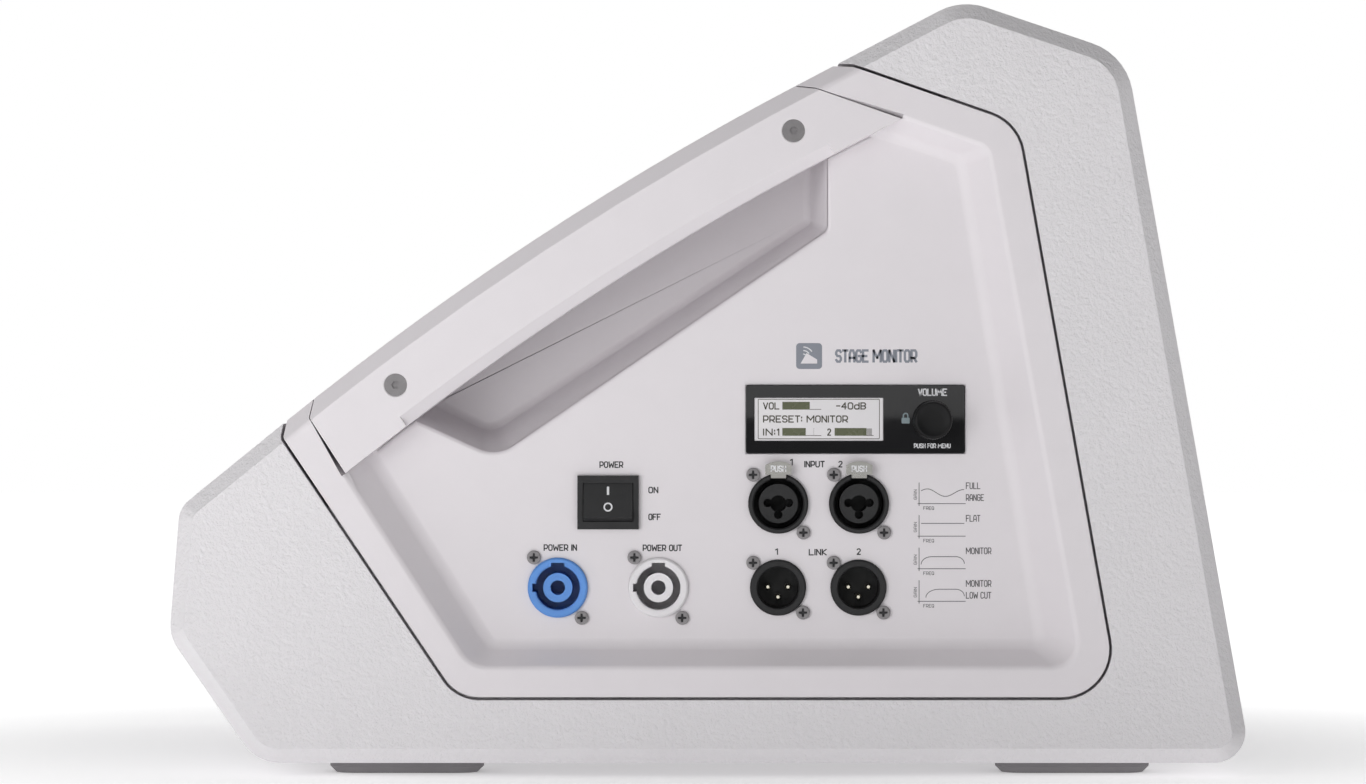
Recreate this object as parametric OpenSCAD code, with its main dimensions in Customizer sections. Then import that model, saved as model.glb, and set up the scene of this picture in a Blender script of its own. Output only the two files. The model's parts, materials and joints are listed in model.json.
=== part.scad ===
// Powered stage monitor wedge: a plywood cabinet with a moulded panel let into each side,
// a curved steel grille, a ten-inch coaxial driver and a built-in amplifier.
// X runs across the cabinet, Y runs from the front to the back and Z is up.
// The origin is at floor level under the middle of the cabinet, and +X is the control side.

/* [Cabinet] */
// Width across the two sides
cabinet_w = 400; // [396:2:440]
// Height of the rubber feet
foot_h = 6; // [5:0.5:7]
// Thickness of the plywood
ply_t = 15; // [14:1:16]
// Width of the chamfer along the side edges
edge_chamfer = 6; // [4:0.5:7]

/* [Side panels] */
// Depth of the dish that holds the controls
dish_depth = 14; // [13:0.5:15]
// Depth of the hollow behind the handle, from the cabinet side
pocket_depth = 49; // [44:1:50]
// Wall thickness of the moulding
wall_t = 3; // [2.5:0.5:3.5]
// Gap between the moulding and the plywood
panel_gap = 1.2; // [0.6:0.1:1.5]

/* [Handle] */
// Width of the handle bar
bar_w = 31; // [28:1:32]
// Depth of the handle bar across the cabinet
bar_t = 22; // [18:1:24]
// Width of the inner edge's chamfer
bar_chamfer = 4.5; // [3:0.5:6]

/* [Driver] */
// Outer radius of the driver's frame
frame_r = 131; // [128:1:132]
// Outer radius of the cone
cone_r = 101; // [100:1:101]
// Travel of the cone each way
cone_travel = 5; // [2:0.5:5]

/* [Controls] */
// Diameter of the volume knob
knob_d = 15.8; // [14:0.2:17]
// How far the knob pushes in
knob_travel = 0.6; // [0.3:0.1:0.7]
// Tilt of the power rocker each side of its middle, in degrees
rocker_tilt = 10; // [6:1:11]

/* [Hidden] */

$fn = 48;
half_w = cabinet_w / 2;
dish_x = half_w - dish_depth;
pocket_x = half_w - pocket_depth;
bar_x = half_w - bar_t;
skin_t = 4;
rebate = 8;
gasket_t = 1;
ledge = 6;
window_half = 147;
front_block = 34;
seam = 0.3;
arc_step = 9;
arc_reach = 18;

// Corners are [y, z, radius], clockwise as seen from the control side
cabinet_corners = [[-178.9, foot_h, 18], [-213.4, 56, 16], [-209.4, 107.1, 11],
    [-72.3, 218.3, 1230], [100.6, 308.7, 24], [165.8, 286.7, 24], [215.5, foot_h, 12.4]];
panel_corners = [[-99, 32.4, 16], [-167.9, 135, 2], [-165.4, 149, 0], [-80, 290, 0],
    [57.3, 281.6, 2], [122.2, 259, 18.5], [162.3, 32.4, 19]];
frame_corners = [[-94, 44.3, 12], [-157.8, 142.7, 1], [-154.9, 157, 0], [-80, 290, 0],
    [42.8, 273.3, 1], [110.8, 249.5, 6], [148.1, 44.3, 10]];
floor_corners = [[-86.6, 51.9, 6], [-160, 168.7, 0], [-80, 290, 0], [20, 273.3, 0],
    [101.1, 245.9, 7], [133.2, 51.9, 5]];
pocket_corners = [[-84, 127.3, 14.5], [-128, 147.4, 4], [-118, 172, 0], [-60, 290, 0],
    [47.5, 275, 0], [47.5, 217.4, 4]];
pocket_floor_corners = [[-87.2, 136.8, 9], [-121, 153.3, 4], [-112, 176, 0], [-60, 290, 0],
    [41.5, 272, 0], [41.5, 221.1, 4]];
chassis_corners = [[-78, 56, 4], [-78, 118, 4], [0, 172, 4], [106, 172, 4], [112, 56, 4]];

// Places on the control panel, [y, z] on the dish floor
inputs_at = [[28.1, 108.6], [60.2, 108.6]];
links_at = [[28, 75.2], [60, 75.2]];
inlet_at = [-59.6, 75.2];
outlet_at = [-19.6, 75.2];
switch_at = [-39.6, 109.1];
knob_at = [89.3, 141.8];
display_low = [15, 128.3];
display_high = [102.5, 156];
lcd_low = [18.6, 133.6];
lcd_high = [69.8, 150.7];
input_screws = [[-10, 11.5], [10, -11.5]];
link_screws = [[-9.9, 9.9], [9.9, -9.9]];
mains_screws = [[-9.5, 12], [9.5, -12]];
bar_screws = [[-123.4, 155.8], [33.9, 256.3]];
socket_at = [10, 110];
socket_hole_r = 17.75;
socket_depth = 75;
foot_centres = [-121, 147];
foot_x = 155;
foot_l = 62;
foot_w = 24;

// Driver frame: its middle lies on the front of the baffle, local Z points out of the cabinet
driver_at = [-48, 186];
front_tilt = 33.3;
baffle_t = 15;
window_low = -153;
window_high = 150;
port_at = [116, -110];
port_r = 22;
port_l = 70;
screw_circle_r = 124.5;
coil_r = 32;
magnet_top = -76;
magnet_back = -96;

cabinet_white = [0.88, 0.87, 0.88];
moulded_white = [0.86, 0.85, 0.86];
dark_plastic = [0.14, 0.14, 0.15];
steel_grey = [0.6, 0.6, 0.62];
board_green = [0.1, 0.35, 0.2];
ply_colour = [0.76, 0.62, 0.42];

// Direction of a vector
function unit(v) = v / norm(v);

// Point where the line through p along u meets the line through q along w
function meet(p, u, q, w) =
    p + u * ((q[0] - p[0]) * w[1] - (q[1] - p[1]) * w[0]) / (u[0] * w[1] - u[1] * w[0]);

// Angle brought between -180 and 180 degrees
function short_turn(a) = a > 180 ? a - 360 : a < -180 ? a + 360 : a;

// Points of the arc of radius r that rounds the corner v between a and b
function corner_arc(a, v, b, r) = r <= 0 ? [v] :
    let (u = unit(a - v), w = unit(b - v), half = acos(u * w) / 2,
        centre = v + unit(u + w) * r / sin(half),
        p = v + u * r / tan(half) - centre, q = v + w * r / tan(half) - centre,
        start = atan2(p[1], p[0]), turn = short_turn(atan2(q[1], q[0]) - start),
        n = max(3, ceil(abs(turn) / arc_step), ceil(abs(turn) * PI / 180 * r / arc_reach)))
    [for (i = [0:n]) centre + r * [cos(start + turn * i / n), sin(start + turn * i / n)]];

function plane_point(c) = [c[0], c[1]];

// Outline with every corner rounded by its own radius
function rounded(c) = let (n = len(c)) [for (i = [0:n - 1])
    each corner_arc(plane_point(c[(i + n - 1) % n]), plane_point(c[i]),
        plane_point(c[(i + 1) % n]), c[i][2])];

// Corners of the outline moved inwards by d, or outwards when d is negative
function inset(c, d) = let (n = len(c)) [for (i = [0:n - 1])
    let (a = plane_point(c[(i + n - 1) % n]), v = plane_point(c[i]),
        b = plane_point(c[(i + 1) % n]), u = unit(v - a), w = unit(b - v),
        m = meet(v + d * [u[1], -u[0]], u, v + d * [w[1], -w[0]], w))
    [m[0], m[1], max(c[i][2] - d, min(c[i][2], 1))]];

// Extrudes a shape drawn in the side view from x0 to x1
module across(x0, x1) {
    translate([x0, 0, 0]) rotate([90, 0, 90]) linear_extrude(x1 - x0) children();
}

module outline(c, d = 0) {
    polygon(rounded(inset(c, d)));
}

// Strip that follows the cabinet's outline between two depths below its surface
module band(near, far) {
    difference() {
        outline(cabinet_corners, near);
        outline(cabinet_corners, far);
    }
}

// The same strip, only along the front slope
module slope_band(near, far) {
    intersection() {
        band(near, far);
        slope_box([-175, -16], [165, 60]);
    }
}

// Rectangle in the driver's frame, drawn in the side view
module slope_box(low, high) {
    translate(driver_at) rotate(front_tilt) translate(low) square(high - low);
}

module on_side(side) {
    mirror([side < 0 ? 1 : 0, 0, 0]) children();
}

// Places a shape on the dish floor: local X is along +Y, local Y is up, local Z points out
module on_panel(at, x = dish_x) {
    translate([x, at[0], at[1]]) rotate([90, 0, 90]) children();
}

module at_driver() {
    translate([0, driver_at[0], driver_at[1]]) rotate([front_tilt, 0, 0]) children();
}

// The whole wedge as one chamfered block, which trims every piece that reaches its surface
module wedge_body() {
    hull() {
        across(-half_w + edge_chamfer, half_w - edge_chamfer) outline(cabinet_corners);
        across(-half_w, half_w) outline(cabinet_corners, edge_chamfer);
    }
}

// Screw head with a cross recess, its top at z = 0
module cross_head(r, h) {
    difference() {
        translate([0, 0, -h]) cylinder(r1 = r * 0.98, r2 = r, h = h, $fn = 32);
        for (a = [0, 90])
            rotate(a) translate([-r * 0.55, -r * 0.12, -h * 0.6]) cube([r * 1.1, r * 0.24, h]);
    }
}

// Screw with its head's top at z = 0 and its shank running down
module cross_screw(head_r, head_h, shank_r, length) {
    cross_head(head_r, head_h);
    translate([0, 0, -length]) cylinder(r = shank_r, h = length - head_h, $fn = 24);
}

// ---- cabinet ----

module panel_cutout() {
    across(half_w - rebate - gasket_t, half_w + 1) outline(panel_corners, -panel_gap);
    across(half_w - ply_t - 1, half_w) outline(panel_corners, ledge);
    across(window_half, half_w + 1) intersection() {
        outline(panel_corners, -panel_gap);
        slope_band(-1, front_block + 3);
    }
}

module cabinet_shell() {
    color(cabinet_white) difference() {
        wedge_body();
        across(-half_w + ply_t, half_w - ply_t) outline(cabinet_corners, ply_t);
        across(-window_half, window_half) slope_box([window_low, 0], [window_high, 90]);
        for (side = [-1, 1]) on_side(side) panel_cutout();
        foot_places() translate([0, 0, foot_h - 1]) cylinder(r = 2.1, h = 12, $fn = 24);
    }
}

module baffle_board() {
    color(ply_colour) difference() {
        across(-half_w + ply_t, half_w - ply_t) intersection() {
            slope_box([window_low - 12, -baffle_t], [window_high + 15, 0]);
            outline(cabinet_corners, ply_t);
        }
        at_driver() {
            translate([0, 0, -baffle_t - 1]) cylinder(r = 116, h = baffle_t + 2, $fn = 96);
            for (side = [-1, 1]) translate([side * port_at[0], port_at[1], -baffle_t - 1])
                cylinder(r = port_r + 2.5, h = baffle_t + 2);
            driver_screw_places() translate([0, 0, -12]) cylinder(r = 2.1, h = 13, $fn = 24);
        }
        for (side = [-1, 1]) on_side(side) across(window_half, half_w)
            slope_box([-136, -30], [180, 10]);
    }
}

// Battens that carry the ends of the grille
module baffle_cleats() {
    color(ply_colour) difference() {
        for (ends = [[window_low, window_low + 14], [window_high - 12, window_high]])
            across(-140, 140) intersection() {
                slope_box([ends[0], 0], [ends[1], 60]);
                outline(cabinet_corners, 12.5);
            }
        grille_screw_places() translate([0, 0, -14]) cylinder(r = 1.6, h = 12, $fn = 24);
    }
}

module rear_brace() {
    color(ply_colour) across(-half_w + ply_t, half_w - ply_t) intersection() {
        translate([146, 205]) square([40, 12]);
        outline(cabinet_corners, ply_t);
    }
}

module damping_wadding() {
    color([0.8, 0.8, 0.78]) across(-160, 160) intersection() {
        translate([-80, 0]) square([250, foot_h + ply_t + 14]);
        outline(cabinet_corners, ply_t + 0.5);
    }
}

module port_tubes() {
    color(dark_plastic) at_driver() for (side = [-1, 1])
        translate([side * port_at[0], port_at[1], 0]) rotate_extrude() polygon([
            [port_r, -port_l], [port_r + 2.5, -port_l], [port_r + 2.5, 0],
            [port_r + 4.5, 0], [port_r + 4.5, 1.5], [port_r + 1.5, 1.5], [port_r, 0]]);
}

// ---- feet ----

module foot_places() {
    for (side = [-1, 1], y = foot_centres) translate([side * foot_x, y, 0]) children();
}

module rubber_feet() {
    color([0.56, 0.54, 0.56]) foot_places() difference() {
        union() {
            for (end = [-1, 1]) translate([0, end * (foot_l - foot_w) / 2, 0]) {
                cylinder(r1 = foot_w / 2 - 2.5, r2 = foot_w / 2, h = 2.5);
                translate([0, 0, 2.5]) cylinder(r = foot_w / 2, h = foot_h - 2.5);
            }
            rotate([90, 0, 0]) translate([0, 0, -(foot_l - foot_w) / 2])
                linear_extrude(foot_l - foot_w) polygon([
                    [-foot_w / 2 + 2.5, 0], [foot_w / 2 - 2.5, 0], [foot_w / 2, 2.5],
                    [foot_w / 2, foot_h], [-foot_w / 2, foot_h], [-foot_w / 2, 2.5]]);
        }
        translate([0, 0, -1]) cylinder(r = 2.1, h = foot_h + 2, $fn = 24);
        translate([0, 0, -1]) cylinder(r = 5, h = 4);
    }
}

module foot_screws() {
    color(steel_grey) foot_places() translate([0, 0, 1.2]) rotate([180, 0, 0])
        cross_screw(4.5, 1.8, 2, 14);
}

// ---- side panels ----

// Back of the dish, one wall thicker than the dish itself
module dish_shell() {
    hull() {
        across(half_w - 1, half_w) outline(frame_corners, -wall_t);
        across(dish_x - wall_t, dish_x) intersection() {
            outline(floor_corners, -wall_t);
            outline(cabinet_corners, bar_w - wall_t);
        }
    }
}

module dish_hollow() {
    hull() {
        across(half_w, half_w + 0.5) intersection() {
            outline(frame_corners);
            outline(cabinet_corners, bar_w);
        }
        across(dish_x, dish_x + 0.1) intersection() {
            outline(floor_corners);
            outline(cabinet_corners, bar_w);
        }
    }
}

// Finger pocket beside the bar, grown by d for the wall around it
module pocket(d = 0) {
    hull() {
        across(dish_x - 0.5, dish_x + 0.5) intersection() {
            outline(pocket_corners, -d);
            outline(cabinet_corners, 27 - d);
        }
        across(pocket_x - d, pocket_x + 0.5) intersection() {
            outline(pocket_floor_corners, -d);
            outline(cabinet_corners, 27 - d);
        }
    }
}

// Space behind the bar for the fingers, between two lines across the slope
grip_low = -66;
grip_high = 94;

module grip_space() {
    across(pocket_x, bar_x + 0.1) intersection() {
        slope_box([grip_low, -60], [grip_high, 60]);
        band(skin_t, front_block);
    }
}

// Hollows that keep the ends of the front block to an even wall
module end_hollows() {
    for (span = [[-160, grip_low - wall_t], [grip_high + wall_t, 160]])
        across(pocket_x, bar_x - 4) intersection() {
            slope_box([span[0], -60], [span[1], 60]);
            band(skin_t, front_block + 8);
            outline(panel_corners, skin_t);
        }
}

module bar_screw_bosses() {
    for (p = bar_screws) on_panel(p, window_half + 1)
        cylinder(r = 5.5, h = bar_x - window_half - 1);
}

module panel_moulding() {
    difference() {
        union() {
            intersection() {
                wedge_body();
                union() {
                    difference() {
                        across(half_w - rebate, half_w + 1) outline(panel_corners);
                        across(half_w - rebate - 1, half_w - wall_t)
                            outline(panel_corners, wall_t);
                    }
                    dish_shell();
                    difference() {
                        across(window_half + 0.5, half_w + 1) intersection() {
                            outline(panel_corners);
                            slope_band(0, front_block);
                        }
                        end_hollows();
                    }
                }
            }
            pocket(wall_t);
            intersection() {
                bar_screw_bosses();
                across(0, half_w) band(skin_t - 1, front_block);
            }
        }
        dish_hollow();
        pocket();
        grip_space();
        across(bar_x, half_w + 1) intersection() {
            outline(frame_corners);
            band(-1, bar_w);
        }
        for (p = bar_screws) on_panel(p, bar_x - 14) cylinder(r = 2.5, h = 15, $fn = 24);
    }
}

module side_panel_control() {
    color(moulded_white) difference() {
        panel_moulding();
        for (p = concat(inputs_at, [inlet_at, outlet_at])) panel_hole(p, 12);
        for (p = links_at) panel_hole(p, 11.2);
        connector_screw_places() translate([0, 0, -wall_t - 1])
            cylinder(r = 1.6, h = wall_t + 2, $fn = 24);
        on_panel(switch_at, dish_x - wall_t - 1)
            translate([-11.3, -10.2, 0]) cube([22.6, 20.4, wall_t + 2]);
        on_panel(display_low, dish_x - wall_t - 1) translate([2, 3.6, 0])
            cube([54.4, 20.5, wall_t + 2]);
        on_panel(display_low, dish_x - 0.8) cube([display_high[0] - display_low[0],
            display_high[1] - display_low[1], 3]);
        panel_hole(knob_at, 3.6);
        for (p = inputs_at) on_panel(p, dish_x - wall_t - 1)
            translate([-3.6, 8, 0]) cube([7.2, 5.2, wall_t + 2]);
    }
}

module panel_hole(at, r) {
    on_panel(at, dish_x - wall_t - 2) cylinder(r = r, h = wall_t + 4);
}

module side_panel_plain() {
    color(moulded_white) on_side(-1) difference() {
        panel_moulding();
        panel_hole(socket_at, 24);
        socket_screw_places() translate([0, 0, -wall_t - 1])
            cylinder(r = 2.2, h = wall_t + 2, $fn = 24);
    }
}

module panel_gaskets() {
    color([0.2, 0.2, 0.2]) for (side = [-1, 1]) on_side(side)
        across(half_w - rebate - gasket_t, half_w - rebate) intersection() {
            difference() {
                outline(panel_corners, 0.4);
                outline(panel_corners, ledge - 0.5);
            }
            outline(cabinet_corners, front_block + 4);
        }
}

// ---- handles ----

module handle_bar() {
    difference() {
        intersection() {
            wedge_body();
            across(bar_x, half_w) intersection() {
                outline(frame_corners, seam);
                band(0, bar_w);
            }
        }
        intersection() {
            across(0, half_w + 1) slope_box([-85, -30], [115.6, 60]);
            hull() {
                across(half_w - bar_chamfer, half_w) outline(cabinet_corners, bar_w);
                across(half_w, half_w + 0.5) outline(cabinet_corners, bar_w - bar_chamfer);
            }
        }
        intersection() {
            across(0, half_w) slope_box([grip_low, -30], [grip_high, 60]);
            hull() {
                across(bar_x - 0.5, bar_x) outline(cabinet_corners, bar_w - 6);
                across(bar_x, bar_x + 6) outline(cabinet_corners, bar_w);
            }
        }
        for (p = bar_screws) on_panel(p, bar_x - 1) {
            cylinder(r = 2.6, h = bar_t + 2, $fn = 24);
            translate([0, 0, bar_t - 2]) cylinder(r1 = 2.6, r2 = 4.75, h = 3, $fn = 32);
        }
    }
}

module handle_bar_control() {
    color(moulded_white) handle_bar();
}

module handle_bar_plain() {
    color(moulded_white) on_side(-1) handle_bar();
}

module handle_screws() {
    color(steel_grey) for (side = [-1, 1]) on_side(side) for (p = bar_screws)
        on_panel(p, half_w) difference() {
            union() {
                translate([0, 0, -2.4]) cylinder(r1 = 2.4, r2 = 4.5, h = 2.2, $fn = 32);
                translate([0, 0, -bar_t - 10]) cylinder(r = 2.4, h = bar_t + 8, $fn = 24);
            }
            translate([0, 0, -2]) cylinder(r = 1.7, h = 3, $fn = 6);
        }
}

// ---- grille ----

grille_t = 1.5;
grille_proud = 0.5;
grille_edge = 12;

module front_grille() {
    color(cabinet_white) difference() {
        across(-window_half + 0.8, window_half - 0.8) intersection() {
            slope_box([window_low + 0.8, 0], [window_high - 0.8, 80]);
            band(-grille_proud, grille_edge);
        }
        across(-window_half + 0.8 + grille_t, window_half - 0.8 - grille_t) intersection() {
            slope_box([window_low + 0.8 + grille_t, -10], [window_high - 0.8 - grille_t, 80]);
            outline(cabinet_corners, grille_t - grille_proud);
        }
        grille_screw_places() {
            translate([0, 0, -3]) cylinder(r = 2.1, h = 6, $fn = 24);
        }
    }
}

module grille_foam() {
    color([0.12, 0.12, 0.12]) across(-window_half + 3.5, window_half - 3.5) intersection() {
        slope_box([window_low + 16, 0], [window_high - 14, 80]);
        band(grille_t, 9);
    }
}

// Screws stand square to the straight ends of the front slope
module grille_screw_places() {
    for (x = [-120, 0, 120]) {
        translate([x, -185.4, 126.54]) rotate([39.05, 0, 0]) children();
        translate([x, 58.3, 286.58]) rotate([27.6, 0, 0]) children();
    }
}

module grille_screws() {
    color(steel_grey) grille_screw_places() {
        translate([0, 0, 1.45 + grille_proud]) cross_head(4, 1.4);
        translate([0, 0, -12]) cylinder(r = 1.5, h = 12.2 + grille_proud, $fn = 24);
    }
}

// ---- pole socket on the plain side ----

module socket_screw_places() {
    on_panel(socket_at) for (a = [45:90:315]) rotate(a) translate([29.5, 0, 0]) children();
}

module pole_socket() {
    color(dark_plastic) on_side(-1) difference() {
        on_panel(socket_at) rotate_extrude($fn = 96) polygon([[socket_hole_r, -socket_depth],
            [socket_hole_r + 4, -socket_depth], [socket_hole_r + 6, 0], [34, 0], [34, 2.5],
            [33, 3.5], [socket_hole_r + 1.5, 3.5], [socket_hole_r, 2]]);
        socket_screw_places() translate([0, 0, -1]) cylinder(r = 2.2, h = 6, $fn = 24);
    }
    color(dark_plastic) on_side(-1) on_panel(socket_at) translate([0, 0, -socket_depth - 3])
        cylinder(r = socket_hole_r + 4, h = 3);
}

module pole_socket_screws() {
    color(steel_grey) on_side(-1) socket_screw_places() translate([0, 0, 5.3])
        cross_screw(3.8, 1.8, 2, 16);
}

// ---- display and knob ----

module display_window() {
    color([0.18, 0.18, 0.19]) difference() {
        on_panel(display_low, dish_x - 0.8) translate([0.2, 0.2, 0]) cube([
            display_high[0] - display_low[0] - 0.4, display_high[1] - display_low[1] - 0.4, 1.8]);
        on_panel(lcd_low, dish_x - 2) cube([lcd_high[0] - lcd_low[0],
            lcd_high[1] - lcd_low[1], 5]);
        on_panel(knob_at, dish_x - 2) cylinder(r = 3.6, h = 5);
    }
}

module lcd_module() {
    color([0.85, 0.86, 0.84]) {
        on_panel(lcd_low, dish_x - 6) translate([0.1, 0.1, 0]) cube([
            lcd_high[0] - lcd_low[0] - 0.2, lcd_high[1] - lcd_low[1] - 0.2, 6.5]);
        on_panel(lcd_low, dish_x - 7) translate([-1.4, -1.4, 0]) cube([
            lcd_high[0] - lcd_low[0] + 2.8, lcd_high[1] - lcd_low[1] + 2.8, 3.8]);
    }
}

module display_board() {
    color(board_green) difference() {
        on_panel(display_low, dish_x - 8.6) cube([display_high[0] - display_low[0],
            display_high[1] - display_low[1], 1.6]);
        on_panel(knob_at, dish_x - 10) cylinder(r = 5, h = 4);
    }
}

shaft_r = 3;

module encoder_body() {
    color(steel_grey) on_panel(knob_at, dish_x - 7) difference() {
        union() {
            rotate_extrude() polygon([[shaft_r + 0.07, -10], [3.5, -10], [3.5, 7.6],
                [shaft_r + 0.07, 7.6]]);
            difference() {
                translate([-6.5, -6.5, -9.6]) cube([13, 13, 8]);
                translate([0, 0, -8]) cylinder(r = 5.4, h = 5);
                translate([0, 0, -12]) cylinder(r = 3.3, h = 12);
            }
        }
        translate([0, 0, -12]) cylinder(r = 3.8, h = 9);
    }
}

module encoder_rotor() {
    color([0.85, 0.82, 0.7]) on_panel(knob_at, dish_x - 7) translate([0, 0, -7.6]) difference() {
        cylinder(r = 5, h = 4.2);
        intersection() {
            translate([0, 0, -1]) cylinder(r = shaft_r + 0.06, h = 7);
            translate([-4, -4, -1]) cube([8, 4 + 2.56, 7]);
        }
    }
}

// Knob with its shaft; the shaft's flat keys it in the rotor
module volume_knob() {
    color(dark_plastic) on_panel(knob_at) {
        rotate_extrude($fn = 96) polygon([[0, knob_travel + 2], [4.6, knob_travel + 2],
            [4.6, knob_travel + 1.5], [knob_d / 2, knob_travel + 1.5], [knob_d / 2 - 0.1, 3.2],
            [knob_d / 2 - 0.6, 11.2], [knob_d / 2 - 1.4, 12], [knob_d / 2 - 2.2, 12],
            [knob_d / 2 - 3, 11.6], [0, 11.2]]);
        translate([0, 0, knob_travel - 10]) cylinder(r = shaft_r, h = 13);
        intersection() {
            translate([0, 0, -16]) cylinder(r = shaft_r, h = 8);
            translate([-4, -4, -16]) cube([8, 4 + 2.5, 8]);
        }
    }
}

// ---- power switch ----

rocker_r = 9;
rocker_w = 19.6;
rocker_x = dish_x - 3.4;
rocker_face = 5.6;

module switch_housing() {
    color(dark_plastic) on_panel(switch_at) difference() {
        union() {
            translate([-12.2, -10.7, 0]) cube([24.4, 21.4, 1.8]);
            translate([-11.2, -10.1, -24]) cube([22.4, 20.2, 24]);
            for (x = [-7, 0, 7]) translate([x - 0.4, -3, -31]) cube([0.8, 6, 7.1]);
        }
        translate([-rocker_w / 2 - 0.25, 0, rocker_x - dish_x]) rotate([0, 90, 0]) {
            cylinder(r = rocker_r + 0.3, h = rocker_w + 0.5, $fn = 96);
            translate([0, 0, -0.7]) cylinder(r = 1.27, h = rocker_w + 1.9);
        }
    }
}

module power_rocker() {
    color([0.17, 0.17, 0.18]) translate([rocker_x, switch_at[0], switch_at[1]])
        rotate([0, -rocker_tilt, 0]) rotate([90, 0, 0]) {
            translate([0, 0, -rocker_w / 2]) linear_extrude(rocker_w) intersection() {
                circle(r = rocker_r, $fn = 96);
                translate([-3, -rocker_r]) square([3 + rocker_face, 2 * rocker_r]);
            }
            translate([0, 0, -rocker_w / 2 - 0.7]) cylinder(r = 1.2, h = rocker_w + 1.4);
        }
}

// ---- input sockets ----

socket_ring_r = 11.9;
latch_x = -6;
latch_z = 10.8;

module input_socket(at) {
    color(dark_plastic) on_panel(at) difference() {
        union() {
            translate([0, 0, -wall_t]) cylinder(r = socket_ring_r, h = wall_t + 1.6);
            rotate_extrude() polygon([[9.9, 1.6], [socket_ring_r, 1.6], [11.2, 2.3], [10.4, 2.3]]);
            translate([-13, -15.5, -wall_t - 2]) cube([26, 31, 2]);
            translate([-11.5, -12, -27]) cube([23, 27, 27 - wall_t - 1.9]);
        }
        translate([0, 0, -22]) cylinder(r = 9.9, h = 30);
        translate([-3.3, 8, latch_x - 2]) cube([6.6, 4, 20]);
        translate([-3.3, 8, latch_x - 2]) cube([6.6, 5.4, -latch_x - wall_t + 2.1]);
        translate([-4.6, 11, 0.4]) cube([9.2, 3, 5]);
        translate([-5, latch_z, latch_x]) rotate([0, 90, 0]) cylinder(r = 0.86, h = 10, $fn = 24);
        for (p = input_screws) translate([p[0], p[1], -wall_t - 6])
            cylinder(r = 1.6, h = 7, $fn = 24);
    }
}

module input_insert(at) {
    color([0.2, 0.2, 0.21]) on_panel(at) difference() {
        translate([0, 0, -22]) cylinder(r = 7.8, h = 21.2);
        translate([0, 0, -20]) cylinder(r = 3.3, h = 20);
        for (p = [[-4.2, 0.3], [4.2, 0.3], [0, -4.4]]) translate([p[0], p[1], -18])
            cylinder(r = 1.7, h = 18, $fn = 24);
    }
}

// Release latch: a tab over the ring on an arm that pivots inside the housing
module latch_tab(at) {
    color([0.75, 0.74, 0.72]) on_panel(at) {
        translate([0, 0, 3]) linear_extrude(1.2) {
            translate([-3, latch_z - 0.6]) square([6, 2.4]);
            intersection() {
                translate([-5.2, latch_z + 0.8]) square([10.4, 5.6]);
                translate([0, latch_z - 3.2]) circle(r = 9.3, $fn = 64);
            }
        }
        translate([-3, latch_z - 0.6, latch_x - 1]) cube([6, 1.2, 4.4 - latch_x]);
        translate([-4.8, latch_z, latch_x]) rotate([0, 90, 0]) cylinder(r = 0.8, h = 9.6, $fn = 24);
    }
}

// ---- link sockets ----

module link_socket(at) {
    color(dark_plastic) on_panel(at) difference() {
        union() {
            translate([0, 0, -wall_t]) cylinder(r = 11.1, h = wall_t + 1.2);
            rotate_extrude() polygon([[8.15, 1.2], [11.1, 1.2], [10.4, 1.9], [8.6, 1.9]]);
            translate([-13, -13, -wall_t - 2]) cube([26, 26, 2]);
            translate([0, 0, -24]) cylinder(r = 11.1, h = 22 - wall_t);
        }
        translate([0, 0, -16]) cylinder(r = 8.15, h = 30);
        for (p = pin_places) translate([p[0], p[1], -25]) cylinder(r = 1.2, h = 10, $fn = 24);
        for (p = link_screws) translate([p[0], p[1], -wall_t - 3])
            cylinder(r = 1.6, h = 4, $fn = 24);
    }
}

pin_places = [[-4, 0.2], [4, 0.2], [0, -3.8]];

module link_pins() {
    color([0.8, 0.78, 0.7]) for (at = links_at) on_panel(at) for (p = pin_places)
        translate([p[0], p[1], -28]) {
            cylinder(r = 1.2, h = 25.2, $fn = 24);
            translate([0, 0, 25.2]) cylinder(r1 = 1.2, r2 = 0.6, h = 0.8, $fn = 24);
        }
}

// ---- locking mains connectors ----

module mains_connector(at) {
    on_panel(at) difference() {
        union() {
            translate([0, 0, -wall_t]) cylinder(r = 11.9, h = wall_t + 1.2);
            rotate_extrude() polygon([[9.2, 1.2], [11.9, 1.2], [11.2, 2], [9.2, 2]]);
            translate([-13, -15.5, -wall_t - 2]) cube([26, 31, 2]);
            translate([0, 0, -28]) cylinder(r = 11.7, h = 26 - wall_t);
        }
        rotate_extrude() polygon([[5.8, -20], [8.8, -20], [8.8, 3], [5.8, 3]]);
        translate([0, 0, -18]) cylinder(r = 2.9, h = 20);
        translate([-2.65, 0, 1.2]) cube([5.3, 9.9, 3]);
        translate([-2.65, 7, -20]) cube([5.3, 2.9, 30]);
        translate([-10.1, -1.65, -20]) cube([3.3, 3.3, 30]);
        translate([0, 0, 0.4]) cylinder(r = 5.9, h = 4);
        for (p = mains_screws) translate([p[0], p[1], -wall_t - 3])
            cylinder(r = 1.6, h = 4, $fn = 24);
    }
}

module mains_inlet() {
    color([0.25, 0.5, 0.9]) mains_connector(inlet_at);
}

module mains_outlet() {
    color([0.85, 0.84, 0.84]) mains_connector(outlet_at);
}

module connector_screw_places() {
    for (at = inputs_at, p = input_screws) on_panel(at + p) children();
    for (at = links_at, p = link_screws) on_panel(at + p) children();
    for (at = [inlet_at, outlet_at], p = mains_screws) on_panel(at + p) children();
}

module connector_screws() {
    color(steel_grey) connector_screw_places() translate([0, 0, 1.1])
        cross_screw(2.75, 1.1, 1.5, 9);
}

// ---- amplifier ----

chassis_x = 118;
chassis_t = 1.5;

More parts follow.
